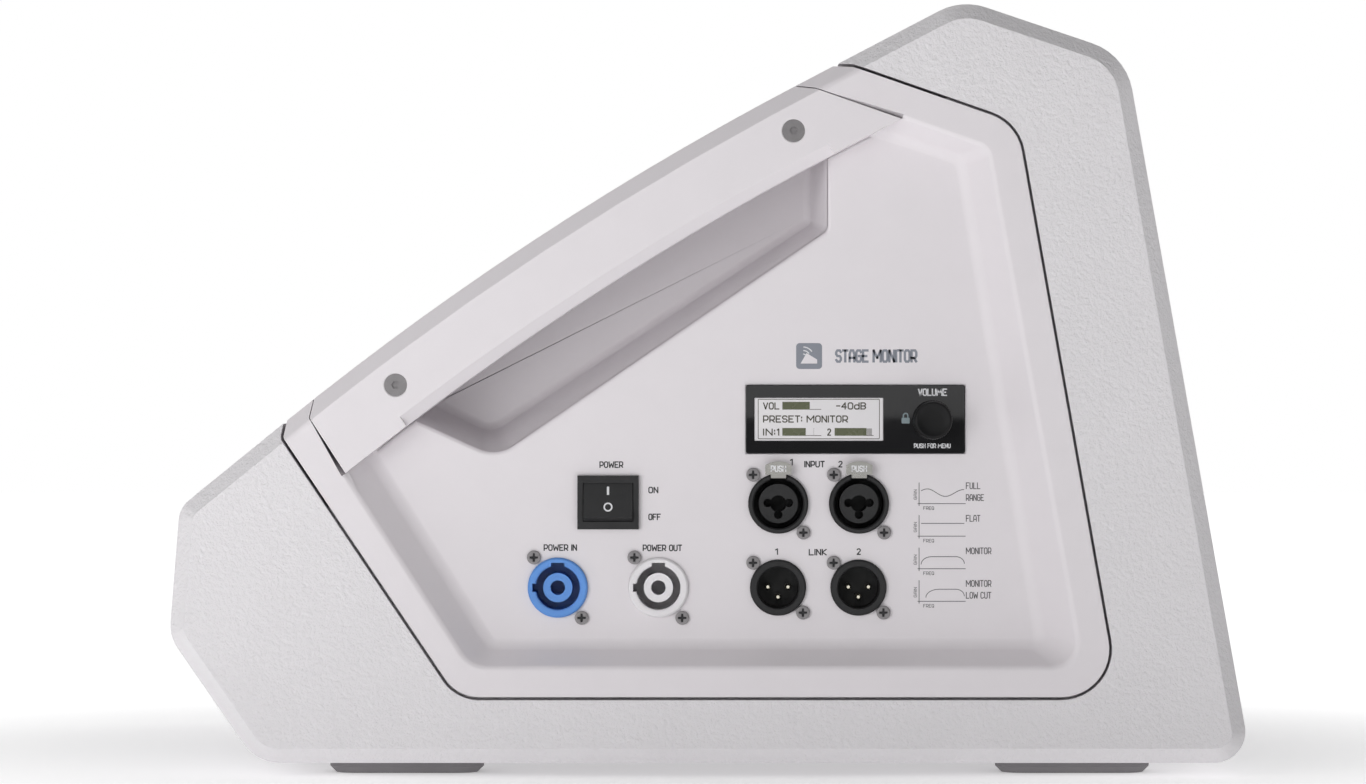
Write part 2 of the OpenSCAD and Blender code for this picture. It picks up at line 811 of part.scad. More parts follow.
module amp_chassis() {
    color([0.75, 0.76, 0.77]) difference() {
        across(chassis_x, dish_x - wall_t) outline(chassis_corners);
        across(chassis_x + chassis_t, half_w) outline(chassis_corners, chassis_t);
    }
}

module heat_sink() {
    color([0.5, 0.51, 0.52]) {
        translate([chassis_x - 4, 5, 76]) cube([4, 90, 74]);
        for (i = [0:9]) translate([chassis_x - 18, 5 + i * 9.78, 76]) cube([14.1, 2, 74]);
    }
}

module amp_board() {
    color(board_green) translate([126, 18, 70]) cube([1.6, 82, 88]);
    color(board_green) for (y = [24, 88], z = [76, 150])
        translate([chassis_x + chassis_t, y, z]) rotate([0, 90, 0]) cylinder(r = 3, h = 6.5, $fn = 24);
}

module supply_board() {
    color(board_green) translate([126, -66, 70]) cube([1.6, 76, 50]);
    color(board_green) for (y = [-60, 2], z = [76, 112])
        translate([chassis_x + chassis_t, y, z]) rotate([0, 90, 0]) cylinder(r = 3, h = 6.5, $fn = 24);
}

module transformer() {
    color([0.55, 0.4, 0.2]) difference() {
        translate([127.6, -44, 78]) cube([22, 30, 34]);
        for (z = [84, 100]) translate([126, -36, z]) cube([20, 14, 6]);
    }
}

module capacitors() {
    color([0.1, 0.1, 0.12]) for (z = [83, 103]) translate([127.6, -4, z])
        rotate([0, 90, 0]) cylinder(r = 8.5, h = 24);
}

// ---- driver ----

module driver_screw_places() {
    for (a = [22.5:45:337.5]) rotate(a) translate([screw_circle_r, 0, 0]) children();
}

module driver_frame() {
    color(dark_plastic) at_driver() difference() {
        rotate_extrude($fn = 96) polygon([[113, 0], [frame_r, 0], [frame_r, 5], [112, 5],
            [110, 2], [110, -4], [60, -60], [60, -49], [54, -49], [57, -53], [57, -68], [38, -68],
            [38, -72], [76, -72], [76, -68], [65, -66], [114, -8]]);
        for (a = [0:60:300]) rotate(a + 30) translate([66, -19, -58]) cube([60, 38, 44]);
        driver_screw_places() translate([0, 0, -1]) cylinder(r = 2.2, h = 8, $fn = 24);
    }
}

module driver_gasket() {
    color([0.1, 0.1, 0.1]) at_driver() difference() {
        rotate_extrude($fn = 96) polygon([[117, 5], [frame_r - 1, 5], [frame_r - 1, 8], [117, 8]]);
        driver_screw_places() translate([0, 0, 4]) cylinder(r = 4.6, h = 8, $fn = 24);
    }
}

module driver_surround() {
    roll_r = 6;
    roll_at = cone_r + 7.5;
    color([0.08, 0.08, 0.08]) at_driver() rotate_extrude($fn = 96) {
        translate([roll_at, 5.2]) intersection() {
            difference() {
                circle(r = roll_r + 0.8, $fn = 32);
                circle(r = roll_r, $fn = 32);
            }
            translate([-8, 0]) square([16, 8]);
        }
        translate([roll_at + roll_r, 5.2]) square([2, 0.8]);
        translate([cone_r - 0.5, 5.2]) square([2.1, 0.8]);
    }
}

module driver_cone() {
    color([0.12, 0.12, 0.12]) at_driver() rotate_extrude($fn = 96) polygon([
        [coil_r + 1, -44], [cone_r, 4], [cone_r + 0.4, 5], [cone_r - 1, 5], [coil_r + 0.9, -42]]);
}

module voice_coil() {
    color([0.72, 0.42, 0.2]) at_driver() rotate_extrude($fn = 96) polygon([
        [coil_r - 0.3, -75 - cone_travel], [coil_r + 0.7, -75 - cone_travel],
        [coil_r + 0.7, -68], [coil_r + 0.2, -68],
        [coil_r + 0.9, -44], [coil_r + 0.9, -40],
        [coil_r - 0.3, -40]]);
}

module driver_spider() {
    rolls = [for (i = [0:20]) [coil_r + 1.4 + i * 1.2, i < 17 ? 1.2 * sin(i * 90) - 49 : -49]];
    color([0.75, 0.6, 0.3]) at_driver() rotate_extrude($fn = 96) polygon(concat(rolls,
        [for (i = [20:-1:0]) rolls[i] + [0, 0.8]]));
}

module top_plate() {
    color(steel_grey) at_driver() translate([0, 0, magnet_top]) difference() {
        cylinder(r = 74, h = 4, $fn = 96);
        translate([0, 0, -1]) cylinder(r = coil_r + 1.4, h = 6, $fn = 96);
    }
}

module magnet_ring() {
    color([0.2, 0.2, 0.21]) at_driver() translate([0, 0, magnet_back]) difference() {
        cylinder(r = 75, h = magnet_top - magnet_back, $fn = 96);
        translate([0, 0, -1]) cylinder(r = 40, h = 30, $fn = 96);
    }
}

module back_plate() {
    color(steel_grey) at_driver() rotate_extrude($fn = 96) polygon([
        [13, magnet_back - 8], [72, magnet_back - 8], [72, magnet_back], [coil_r - 1, magnet_back],
        [coil_r - 1, -66], [13, -66]]);
}

module horn() {
    color([0.16, 0.16, 0.17]) at_driver() rotate_extrude($fn = 96) polygon([
        [13, -66], [28, -66], [28, -62], [16, -58], [19, -42], [28, -22], [46, -4], [44, -2],
        [26, -20], [17, -40], [13, -58]]);
}

module compression_driver() {
    color([0.25, 0.25, 0.26]) at_driver() rotate_extrude($fn = 64) polygon([
        [13, magnet_back - 8], [13, magnet_back - 14], [0, magnet_back - 18],
        [0, magnet_back - 38], [40, magnet_back - 38], [44, magnet_back - 34],
        [44, magnet_back - 12], [30, magnet_back - 8]]);
}

module terminal_block() {
    color([0.3, 0.3, 0.32]) at_driver() {
        translate([76, -9, -84]) cube([4, 18, 10]);
        for (y = [-5, 5]) translate([80, y - 2.4, -82]) cube([7, 4.8, 0.8]);
    }
    color([0.3, 0.3, 0.32]) at_driver() translate([74.5, -9, -84]) difference() {
        cube([2, 18, 10]);
        translate([-74.5, 9, -1]) cylinder(r = 75.1, h = 20, $fn = 96);
    }
}

module driver_screws() {
    color([0.1, 0.1, 0.1]) at_driver() driver_screw_places() translate([0, 0, 8.4]) difference() {
        union() {
            translate([0, 0, -3.4]) cylinder(r = 4, h = 3.4, $fn = 32);
            translate([0, 0, -19]) cylinder(r = 2, h = 16, $fn = 24);
        }
        translate([0, 0, -2]) cylinder(r = 1.7, h = 3, $fn = 6);
    }
}

// ---- internal leads ----

lead_r = 1.4;
lead_sides = 8;
lead_rings = 18;

// Point at share t along a smooth curve with four control points
function bezier(p, t) = pow(1 - t, 3) * p[0] + 3 * t * pow(1 - t, 2) * p[1]
    + 3 * t * t * (1 - t) * p[2] + pow(t, 3) * p[3];

function ring(centre, ahead, r) =
    let (d = unit(ahead), side = unit(cross(d, [0, 1, 0])), up = cross(side, d))
    [for (k = [0:lead_sides - 1]) centre + r * (cos(k * 360 / lead_sides) * side
        + sin(k * 360 / lead_sides) * up)];

module lead(p) {
    dt = 0.001;
    ts = [for (i = [0:lead_rings]) i / lead_rings];
    points = [for (t = ts) each ring(bezier(p, t),
        bezier(p, min(1, t + dt)) - bezier(p, max(0, t - dt)), lead_r)];
    last = lead_rings * lead_sides;
    polyhedron(points, concat(
        [[for (k = [lead_sides - 1:-1:0]) k]],
        [for (i = [0:lead_rings - 1], k = [0:lead_sides - 1])
            [i * lead_sides + k, i * lead_sides + (k + 1) % lead_sides,
             (i + 1) * lead_sides + (k + 1) % lead_sides, (i + 1) * lead_sides + k]],
        [[for (k = [0:lead_sides - 1]) last + k]]), convexity = 6);
}

// Where a lead pushes on to the driver's terminal
function terminal_end(y) =
    let (up = y * [0, cos(front_tilt), sin(front_tilt)],
        out = -81.6 * [0, -sin(front_tilt), cos(front_tilt)])
    [87, driver_at[0], driver_at[1]] + up + out;

module speaker_leads() {
    color([0.7, 0.1, 0.1]) for (y = [-5, 5])
        lead([[chassis_x, -20 + 2 * y, 100], [chassis_x - 14, -20 + 2 * y, 100],
            terminal_end(y) + [16, 0, 0], terminal_end(y)]);
}

cabinet_shell();
baffle_board();
baffle_cleats();
rear_brace();
damping_wadding();
side_panel_control();
side_panel_plain();
panel_gaskets();
handle_bar_control();
handle_bar_plain();
handle_screws();
front_grille();
grille_foam();
grille_screws();
rubber_feet();
foot_screws();
pole_socket();
pole_socket_screws();
port_tubes();
display_window();
lcd_module();
display_board();
switch_housing();
power_rocker();
input_socket(inputs_at[0]);  // input_socket_1
input_socket(inputs_at[1]);  // input_socket_2
input_insert(inputs_at[0]);  // input_insert_1
input_insert(inputs_at[1]);  // input_insert_2
latch_tab(inputs_at[0]);  // latch_tab_1
latch_tab(inputs_at[1]);  // latch_tab_2
link_socket(links_at[0]);  // link_socket_1
link_socket(links_at[1]);  // link_socket_2
link_pins();
mains_inlet();
mains_outlet();
connector_screws();
encoder_body();
encoder_rotor();
volume_knob();
amp_chassis();
heat_sink();
amp_board();
supply_board();
transformer();
capacitors();
driver_frame();
driver_gasket();
driver_surround();
driver_cone();
voice_coil();
driver_spider();
top_plate();
magnet_ring();
back_plate();
horn();
compression_driver();
terminal_block();
driver_screws();
speaker_leads();
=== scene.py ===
import json
import math

import bmesh
import bpy
from mathutils import Matrix, Vector
from mathutils.bvhtree import BVHTree


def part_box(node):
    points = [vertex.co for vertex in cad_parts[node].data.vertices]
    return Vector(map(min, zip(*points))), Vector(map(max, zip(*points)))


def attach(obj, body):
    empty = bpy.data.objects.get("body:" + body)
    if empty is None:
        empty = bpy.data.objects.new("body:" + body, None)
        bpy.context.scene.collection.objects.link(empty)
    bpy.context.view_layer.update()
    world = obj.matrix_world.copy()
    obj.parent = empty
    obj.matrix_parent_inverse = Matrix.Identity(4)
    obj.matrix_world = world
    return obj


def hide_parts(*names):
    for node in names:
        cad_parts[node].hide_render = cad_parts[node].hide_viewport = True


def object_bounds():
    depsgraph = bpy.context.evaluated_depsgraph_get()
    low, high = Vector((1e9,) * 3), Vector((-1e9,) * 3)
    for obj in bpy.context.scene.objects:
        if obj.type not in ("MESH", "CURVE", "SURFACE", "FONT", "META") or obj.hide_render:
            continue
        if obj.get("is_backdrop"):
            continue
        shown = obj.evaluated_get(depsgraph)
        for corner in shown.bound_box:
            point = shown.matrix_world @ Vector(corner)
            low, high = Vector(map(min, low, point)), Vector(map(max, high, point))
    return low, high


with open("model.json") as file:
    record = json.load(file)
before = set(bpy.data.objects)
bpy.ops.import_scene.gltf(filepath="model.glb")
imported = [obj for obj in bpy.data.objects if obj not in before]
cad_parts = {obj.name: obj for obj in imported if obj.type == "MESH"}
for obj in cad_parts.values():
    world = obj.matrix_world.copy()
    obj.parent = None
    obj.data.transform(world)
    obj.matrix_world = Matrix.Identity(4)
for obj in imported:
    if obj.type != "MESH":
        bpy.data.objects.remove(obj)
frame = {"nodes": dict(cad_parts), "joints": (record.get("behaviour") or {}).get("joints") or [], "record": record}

# Looks of a powered stage monitor wedge. Everything is in metres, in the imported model's frame:
# +X is the control side, -Y the low front edge and +Z is up.

MM = 0.001
CAD_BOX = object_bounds()
NODES = frame["nodes"]


def middle(node):
    """Middle of a CAD node's box."""
    low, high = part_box(node)
    return (low + high) / 2


HALF_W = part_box("cabinet_shell")[1].x
WINDOW_LOW, WINDOW_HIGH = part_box("display_window")
DISH_X = WINDOW_HIGH.x - 1 * MM
FLOOR_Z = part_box("rubber_feet")[0].z


# ---- node helpers ----

def new_look(name, roughness, metallic=0.0, specular=0.5):
    """Empty principled material with its uniform numbers on the shader's own sockets."""
    look = bpy.data.materials.new(name)
    look.use_nodes = True
    shader = look.node_tree.nodes["Principled BSDF"]
    shader.inputs["Roughness"].default_value = roughness
    shader.inputs["Metallic"].default_value = metallic
    shader.inputs["Specular IOR Level"].default_value = specular
    return look, shader


def coordinates(tree):
    """Object coordinates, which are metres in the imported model's frame."""
    return tree.nodes.new("ShaderNodeTexCoord").outputs["Object"]


def noise(tree, size, detail=3.0, stretch=(1, 1, 1), roughness=0.5):
    """Noise whose features are about size metres across, longer where stretch is above 1."""
    mapping = tree.nodes.new("ShaderNodeMapping")
    mapping.inputs["Scale"].default_value = [1 / (size * s) for s in stretch]
    tree.links.new(coordinates(tree), mapping.inputs["Vector"])
    texture = tree.nodes.new("ShaderNodeTexNoise")
    texture.inputs["Scale"].default_value = 1.0
    texture.inputs["Detail"].default_value = detail
    texture.inputs["Roughness"].default_value = roughness
    tree.links.new(mapping.outputs["Vector"], texture.inputs["Vector"])
    return texture.outputs["Fac"]


def ramp(tree, value, stops):
    """Colours or greys at the given places along value."""
    node = tree.nodes.new("ShaderNodeValToRGB")
    elements = node.color_ramp.elements
    while len(elements) < len(stops):
        elements.new(0.5)
    for element, (at, colour) in zip(elements, stops):
        element.position = at
        element.color = (*colour, 1) if isinstance(colour, tuple) else (colour, colour, colour, 1)
    tree.links.new(value, node.inputs["Fac"])
    return node.outputs["Color"]


def scaled(colour, k):
    """The colour times k, held at full brightness."""
    return tuple(min(1.0, c * k) for c in colour)


def mottle(tree, shader, colour, size, amount, stretch=(1, 1, 1)):
    """Base colour that drifts a little darker and lighter over patches of the given size."""
    value = noise(tree, size, detail=4.0, stretch=stretch)
    tint = ramp(tree, value, [(0.3, scaled(colour, 1 - amount)), (0.7, scaled(colour, 1 + amount))])
    tree.links.new(tint, shader.inputs["Base Color"])


def vary_roughness(tree, shader, size, low, high, stretch=(1, 1, 1)):
    """Roughness that drifts between low and high over patches of the given size."""
    tree.links.new(ramp(tree, noise(tree, size, stretch=stretch), [(0.3, low), (0.7, high)]),
                   shader.inputs["Roughness"])


def bump(tree, shader, height, distance, strength=1.0):
    """Adds a bump under whatever bump the shader already has."""
    node = tree.nodes.new("ShaderNodeBump")
    node.inputs["Distance"].default_value = distance
    node.inputs["Strength"].default_value = strength
    tree.links.new(height, node.inputs["Height"])
    if shader.inputs["Normal"].links:
        tree.links.new(shader.inputs["Normal"].links[0].from_socket, node.inputs["Normal"])
    tree.links.new(node.outputs["Normal"], shader.inputs["Normal"])


# ---- materials ----

def plastic_look(name, colour, rough, grain=0.35 * MM, depth=0.02 * MM, specular=0.5, drift=0.03):
    """Moulded plastic with a fine spark-eroded grain."""
    look, shader = new_look(name, sum(rough) / 2, specular=specular)
    tree = look.node_tree
    mottle(tree, shader, colour, 12 * MM, drift)
    vary_roughness(tree, shader, 5 * MM, *rough)
    bump(tree, shader, noise(tree, grain, detail=2.0), depth)
    return look


def paint_look():
    """Sprayed structure paint: rounded grains about a millimetre across with finer ones between."""
    look, shader = new_look("cabinet_paint", 0.62, specular=0.4)
    tree = look.node_tree
    mottle(tree, shader, (0.765, 0.745, 0.765), 40 * MM, 0.012)
    vary_roughness(tree, shader, 1.6 * MM, 0.52, 0.74)
    bump(tree, shader, noise(tree, 1.9 * MM, detail=3.0, roughness=0.6), 0.60 * MM, 1.0)
    bump(tree, shader, noise(tree, 0.7 * MM, detail=1.0), 0.20 * MM, 0.8)
    return look


def metal_look(name, colour, rough, grain=0.25 * MM, stretch=(1, 1, 1), depth=0.006 * MM):
    """Bare or plated metal with fine marks, drawn out along a brushed direction."""
    look, shader = new_look(name, sum(rough) / 2, metallic=1.0)
    tree = look.node_tree
    mottle(tree, shader, colour, 3 * MM, 0.06)
    vary_roughness(tree, shader, 1.2 * MM, *rough, stretch=stretch)
    bump(tree, shader, noise(tree, grain, stretch=stretch), depth)
    return look


def wood_look():
    """Rotary-cut plywood face: long grain streaks with darker pores."""
    look, shader = new_look("plywood", 0.7, specular=0.25)
    tree = look.node_tree
    grain = noise(tree, 3 * MM, detail=6.0, stretch=(14, 1, 1), roughness=0.65)
    pore, mid, pale = (0.34, 0.22, 0.12), (0.55, 0.39, 0.23), (0.68, 0.52, 0.34)
    tint = ramp(tree, grain, [(0.25, pore), (0.5, mid), (0.8, pale)])
    tree.links.new(tint, shader.inputs["Base Color"])
    bump(tree, shader, grain, 0.15 * MM, 0.5)
    return look


def foam_look(name, colour, cell):
    """Open-cell foam or felt: a rough surface full of small pits, with painted shade that darkens the pits."""
    look, shader = new_look(name, 0.95, specular=0.1)
    tree = look.node_tree
    cells = tree.nodes.new("ShaderNodeTexVoronoi")
    cells.inputs["Scale"].default_value = 1 / cell
    tree.links.new(coordinates(tree), cells.inputs["Vector"])
    pits = cells.outputs["Distance"]
    # Painted shade: the colour falls to a third of itself in the pits, where shade falls.
    tint = ramp(tree, pits, [(0.05, scaled(colour, 0.35)), (0.45, colour)])
    tree.links.new(tint, shader.inputs["Base Color"])
    bump(tree, shader, pits, 0.5 * cell, 0.8)
    return look


def weave_look(name, colour, pitch):
    """Coarse woven cloth stiffened with resin, with painted shade that darkens the gaps between its threads."""
    look, shader = new_look(name, 0.75, specular=0.3)
    tree = look.node_tree
    wave_heights = []
    for direction in ("X", "Z"):
        wave = tree.nodes.new("ShaderNodeTexWave")
        wave.bands_direction = direction
        wave.inputs["Scale"].default_value = 0.31 / pitch
        tree.links.new(coordinates(tree), wave.inputs["Vector"])
        wave_heights.append(wave.outputs["Fac"])
    joined = tree.nodes.new("ShaderNodeMath")
    joined.operation = "MAXIMUM"
    for k, height in enumerate(wave_heights):
        tree.links.new(height, joined.inputs[k])
    # Painted shade: the colour falls to half in the low places between the threads.
    tint = ramp(tree, joined.outputs["Value"], [(0.2, scaled(colour, 0.5)), (0.9, colour)])
    tree.links.new(tint, shader.inputs["Base Color"])
    bump(tree, shader, joined.outputs["Value"], 0.2 * pitch)
    return look


def board_look():
    """Green solder mask with lighter traces."""
    look, shader = new_look("circuit_board", 0.35)
    tree = look.node_tree
    bricks = tree.nodes.new("ShaderNodeTexBrick")
    bricks.inputs["Scale"].default_value = 90.0
    bricks.inputs["Mortar Size"].default_value = 0.012
    bricks.inputs["Color1"].default_value = (0.012, 0.09, 0.035, 1)
    bricks.inputs["Color2"].default_value = (0.016, 0.12, 0.05, 1)
    bricks.inputs["Mortar"].default_value = (0.05, 0.24, 0.1, 1)
    mapping = tree.nodes.new("ShaderNodeMapping")
    mapping.inputs["Rotation"].default_value = (0, math.pi / 2, 0)
    tree.links.new(coordinates(tree), mapping.inputs["Vector"])
    tree.links.new(mapping.outputs["Vector"], bricks.inputs["Vector"])
    tree.links.new(bricks.outputs["Color"], shader.inputs["Base Color"])
    bump(tree, shader, bricks.outputs["Fac"], 0.03 * MM)
    return look


def display_look():
    """Pale backlit display with a fine random grain that shows up close."""
    look, shader = new_look("display_glass", 0.2)
    tree = look.node_tree
    value = noise(tree, 18 * MM, detail=1.0)
    tint = ramp(tree, value, [(0.35, (0.60, 0.585, 0.60)), (0.7, (0.64, 0.625, 0.635))])
    tree.links.new(tint, shader.inputs["Base Color"])
    tree.links.new(tint, shader.inputs["Emission Color"])
    shader.inputs["Emission Strength"].default_value = 0.2
    bump(tree, shader, noise(tree, 0.25 * MM), 0.003 * MM)
    return look


LOOKS = {
    "cabinet_paint": paint_look(),
    "plywood": wood_look(),
    "wadding": foam_look("wadding", (0.72, 0.71, 0.68), 2.4 * MM),
    "moulded_white": plastic_look("moulded_white", (0.765, 0.73, 0.755), (0.36, 0.48), grain=0.8 * MM,
                                  depth=0.015 * MM, drift=0.008),
    "black_foam": foam_look("black_foam", (0.02, 0.02, 0.021), 0.9 * MM),
    "screw_steel": metal_look("screw_steel", (0.25, 0.24, 0.245), (0.30, 0.42)),
    "black_steel": metal_look("black_steel", (0.05, 0.05, 0.052), (0.35, 0.5)),
    "grille_paint": plastic_look("grille_paint", (0.76, 0.745, 0.76), (0.42, 0.6), grain=0.6 * MM,
                                 depth=0.03 * MM, drift=0.01),
    "grey_rubber": plastic_look("grey_rubber", (0.27, 0.26, 0.27), (0.7, 0.85), grain=0.6 * MM,
                                depth=0.05 * MM, specular=0.25),
    "black_plastic": plastic_look("black_plastic", (0.017, 0.017, 0.018), (0.40, 0.55), depth=0.03 * MM,
                                  specular=0.35, drift=0.1),
    "gloss_black": plastic_look("gloss_black", (0.011, 0.011, 0.012), (0.015, 0.03), depth=0.0,
                                drift=0.05),
    "lcd_glass": display_look(),
    "circuit_board": board_look(),
    "latch_steel": metal_look("latch_steel", (0.36, 0.355, 0.335), (0.24, 0.36), stretch=(1, 6, 1)),
    "pin_metal": metal_look("pin_metal", (0.78, 0.74, 0.62), (0.2, 0.3)),
    "blue_plastic": plastic_look("blue_plastic", (0.10, 0.29, 0.72), (0.3, 0.42), drift=0.05),
    "pale_plastic": plastic_look("pale_plastic", (0.80, 0.78, 0.80), (0.32, 0.45)),
    "amp_aluminium": metal_look("amp_aluminium", (0.62, 0.63, 0.64), (0.35, 0.5), stretch=(1, 12, 1)),
    "copper_winding": metal_look("copper_winding", (0.62, 0.27, 0.11), (0.25, 0.4), stretch=(1, 1, 8),
                                 depth=0.05 * MM),
    "cast_frame": plastic_look("cast_frame", (0.02, 0.02, 0.021), (0.5, 0.65), grain=0.9 * MM,
                               depth=0.08 * MM),
    "cone_paper": foam_look("cone_paper", (0.035, 0.034, 0.034), 0.7 * MM),
    "spider_cloth": weave_look("spider_cloth", (0.50, 0.30, 0.10), 0.9 * MM),
    "magnet_steel": metal_look("magnet_steel", (0.5, 0.5, 0.47), (0.3, 0.42)),
    "ferrite": plastic_look("ferrite", (0.035, 0.035, 0.037), (0.55, 0.7), grain=0.5 * MM,
                            depth=0.05 * MM),
    "lead_red": plastic_look("lead_red", (0.36, 0.02, 0.02), (0.35, 0.45)),
}
KNOB_BLACK = plastic_look("knob_black", (0.006, 0.006, 0.0065), (0.38, 0.5), depth=0.02 * MM, specular=0.2,
                          drift=0.1)
INK = plastic_look("legend_ink", (0.03, 0.03, 0.032), (0.45, 0.55), depth=0.0, drift=0.05)
PALE_INK = plastic_look("pale_ink", (0.72, 0.72, 0.74), (0.4, 0.5), depth=0.0)
GREY_INK = plastic_look("grey_ink", (0.235, 0.25, 0.29), (0.4, 0.5), depth=0.0)
BLUE_GREY_INK = plastic_look("blue_grey_ink", (0.22, 0.28, 0.30), (0.4, 0.5), depth=0.0)
THIN_INK = plastic_look("thin_legend_ink", (0.10, 0.095, 0.10), (0.45, 0.55), depth=0.0, drift=0.05)
BAR_INK = plastic_look("display_bars", (0.095, 0.105, 0.055), (0.2, 0.3), depth=0.0, drift=0.1)
LCD_INK = plastic_look("display_segments", (0.075, 0.07, 0.05), (0.2, 0.3), depth=0.0, drift=0.06)


# ---- CAD nodes ----

# CAD meshes are joined below this distance, and faces flatter than this angle are one face
WELD = 0.002 * MM
FLAT_ANGLE = math.radians(0.6)


def paint_nodes():
    """Gives every CAD node the procedural material of its slot."""
    for entry in frame["record"]["subparts"]:
        mesh = NODES[entry["node"]].data
        mesh.materials.clear()
        mesh.materials.append(LOOKS[entry["material_slot"]])


def soften(node, *rounds):
    """Rounds a CAD node's sharp edges with modifiers; the node's own mesh stays as packed.
    Each round is (least angle in degrees, width, segments), the sharpest edges first."""
    hard_edge = 44
    part = NODES[node]
    for polygon in part.data.polygons:
        polygon.use_smooth = True
    if "custom_normal" in part.data.attributes:
        part.data.attributes.remove(part.data.attributes["custom_normal"])
    weld = part.modifiers.new("weld", "WELD")
    weld.merge_threshold = WELD
    flat = part.modifiers.new("flat", "DECIMATE")
    flat.decimate_type = "DISSOLVE"
    flat.angle_limit = FLAT_ANGLE
    for angle, width, segments in rounds:
        bevel = part.modifiers.new("bevel", "BEVEL")
        bevel.limit_method = "ANGLE"
        bevel.angle_limit = math.radians(angle)
        bevel.width = width
        bevel.segments = segments
        bevel.miter_outer = "MITER_ARC"
    split = part.modifiers.new("split", "EDGE_SPLIT")
    split.split_angle = math.radians(hard_edge)
    split.use_edge_sharp = False
    even = part.modifiers.new("even", "WEIGHTED_NORMAL")
    even.keep_sharp = True


# ---- mesh tools ----

def on_panel(node, side=1):
    """Places a piece drawn flat about the node's middle, its z pointing out of the dish floor."""
    centre = middle(node)
    return Matrix(((0, 0, side, side * DISH_X), (side, 0, 0, centre.y), (0, 1, 0, centre.z), (0, 0, 0, 1)))


def piece(name, bm, look, body="cabinet", place=None, smooth=40, even=True):
    """Finished object from a bmesh drawn in place, or drawn flat and moved by place."""
    if place is not None:
        bmesh.ops.transform(bm, matrix=place, verts=bm.verts)
    bmesh.ops.recalc_face_normals(bm, faces=bm.faces)
    mesh = bpy.data.meshes.new(name)
    bm.to_mesh(mesh)
    bm.free()
    if "custom_normal" in mesh.attributes:
        mesh.attributes.remove(mesh.attributes["custom_normal"])
    mesh.shade_smooth()
    mesh.set_sharp_from_angle(angle=math.radians(smooth))
    mesh.materials.append(look)
    made = bpy.data.objects.new(name, mesh)
    bpy.context.scene.collection.objects.link(made)
    if even:
        made.modifiers.new("even", "WEIGHTED_NORMAL").keep_sharp = True
    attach(made, body)
    return made


def arc(centre, radius, start, end, steps):
    """Points on an arc, from start to end degrees."""
    angles = [math.radians(start + (end - start) * k / steps) for k in range(steps + 1)]
    return [(centre[0] + radius * math.cos(a), centre[1] + radius * math.sin(a)) for a in angles]


def circle(centre, radius, steps, start=0):
    """Outline of a regular polygon or circle, its first point at start degrees."""
    return arc(centre, radius, start, start + 360 - 360 / steps, steps - 1)


def rectangle(low, high):
    """Outline of a rectangle, anticlockwise."""
    return [(low[0], low[1]), (high[0], low[1]), (high[0], high[1]), (low[0], high[1])]


def rounded_box(low, high, radius, steps=6):
    """Outline of a rectangle with round corners, anticlockwise."""
    corners = ((low[0], low[1], 1, 1, 180), (high[0], low[1], -1, 1, 270),
               (high[0], high[1], -1, -1, 0), (low[0], high[1], 1, -1, 90))
    return [point for x, y, right, up, start in corners
            for point in arc((x + right * radius, y + up * radius), radius, start, start + 90, steps)]


def prism(bm, outline, low, high):
    """Closed solid on a flat outline."""
    bottom = [bm.verts.new((x, y, low)) for x, y in outline]
    top = [bm.verts.new((x, y, high)) for x, y in outline]
    bm.faces.new(reversed(bottom))
    bm.faces.new(top)
    for k in range(len(outline)):
        n = (k + 1) % len(outline)
        bm.faces.new((bottom[k], bottom[n], top[n], top[k]))


def stroke(bm, points, width, low, high):
    """Flat line of even width through the points, with mitred corners; it closes if its ends meet."""
    same = 0.001 * MM
    longest_mitre = 2
    spots = [Vector(point) for point in points]
    closed = (spots[0] - spots[-1]).length < same
    if closed:
        spots.pop()
    count = len(spots)
    rings = []
    for k, spot in enumerate(spots):
        before = spots[k - 1] if closed or k else 2 * spot - spots[1]
        after = spots[(k + 1) % count] if closed or k + 1 < count else 2 * spot - spots[k - 1]
        first = (spot - before).normalized()
        second = (after - spot).normalized()
        aside = Vector((-first.y - second.y, first.x + second.x)).normalized()
        reach = width / 2 / max(1 / longest_mitre, aside.dot(Vector((-first.y, first.x))))
        left, right = spot + aside * reach, spot - aside * reach
        rings.append([bm.verts.new((*left, high)), bm.verts.new((*right, high)),
                      bm.verts.new((*right, low)), bm.verts.new((*left, low))])
    for k in range(count if closed else count - 1):
        a, b = rings[k], rings[(k + 1) % count]
        for m in range(4):
            n = (m + 1) % 4
            bm.faces.new((a[m], a[n], b[n], b[m]))
    if not closed:
        bm.faces.new(rings[0])
        bm.faces.new(rings[-1][::-1])


# Plain block letters as pen strokes on a grid CELLS units tall; a line is a run of xy pairs
CELLS = 6
GLYPHS = {
    "A": "00 04 16 36 44 40|02 42", "B": "00 06 36 45 44 33 42 41 30 00|03 33",
    "C": "41 30 10 01 05 16 36 45", "D": "00 06 36 45 41 30 00", "E": "40 00 06 46|03 33",
    "F": "00 06 46|03 33", "G": "45 36 16 05 01 10 30 41 43 23", "H": "00 06|40 46|03 43",
    "I": "00 06", "K": "00 06|46 03 40", "L": "06 00 40", "M": "00 06 32 66 60", "N": "00 06 40 46",
    "O": "10 01 05 16 36 45 41 30 10", "P": "00 06 36 45 43 32 02", "Q": "10 01 05 16 36 45 41 30 10|22 40",
    "R": "00 06 36 45 43 32 02|22 40", "S": "01 10 30 41 42 33 13 04 05 16 36 45", "T": "06 46|26 20",
    "U": "06 01 10 30 41 46", "V": "06 20 46", "W": "06 10 34 50 66", "d": "46 40|43 34 14 03 01 10 30 41",
    "0": "10 01 05 16 36 45 41 30 10", "1": "05 16 10", "2": "05 16 36 45 44 00 40", "4": "30 36 02 42",
    ":": "01 02|04 05", "-": "03 33", " ": "",
}


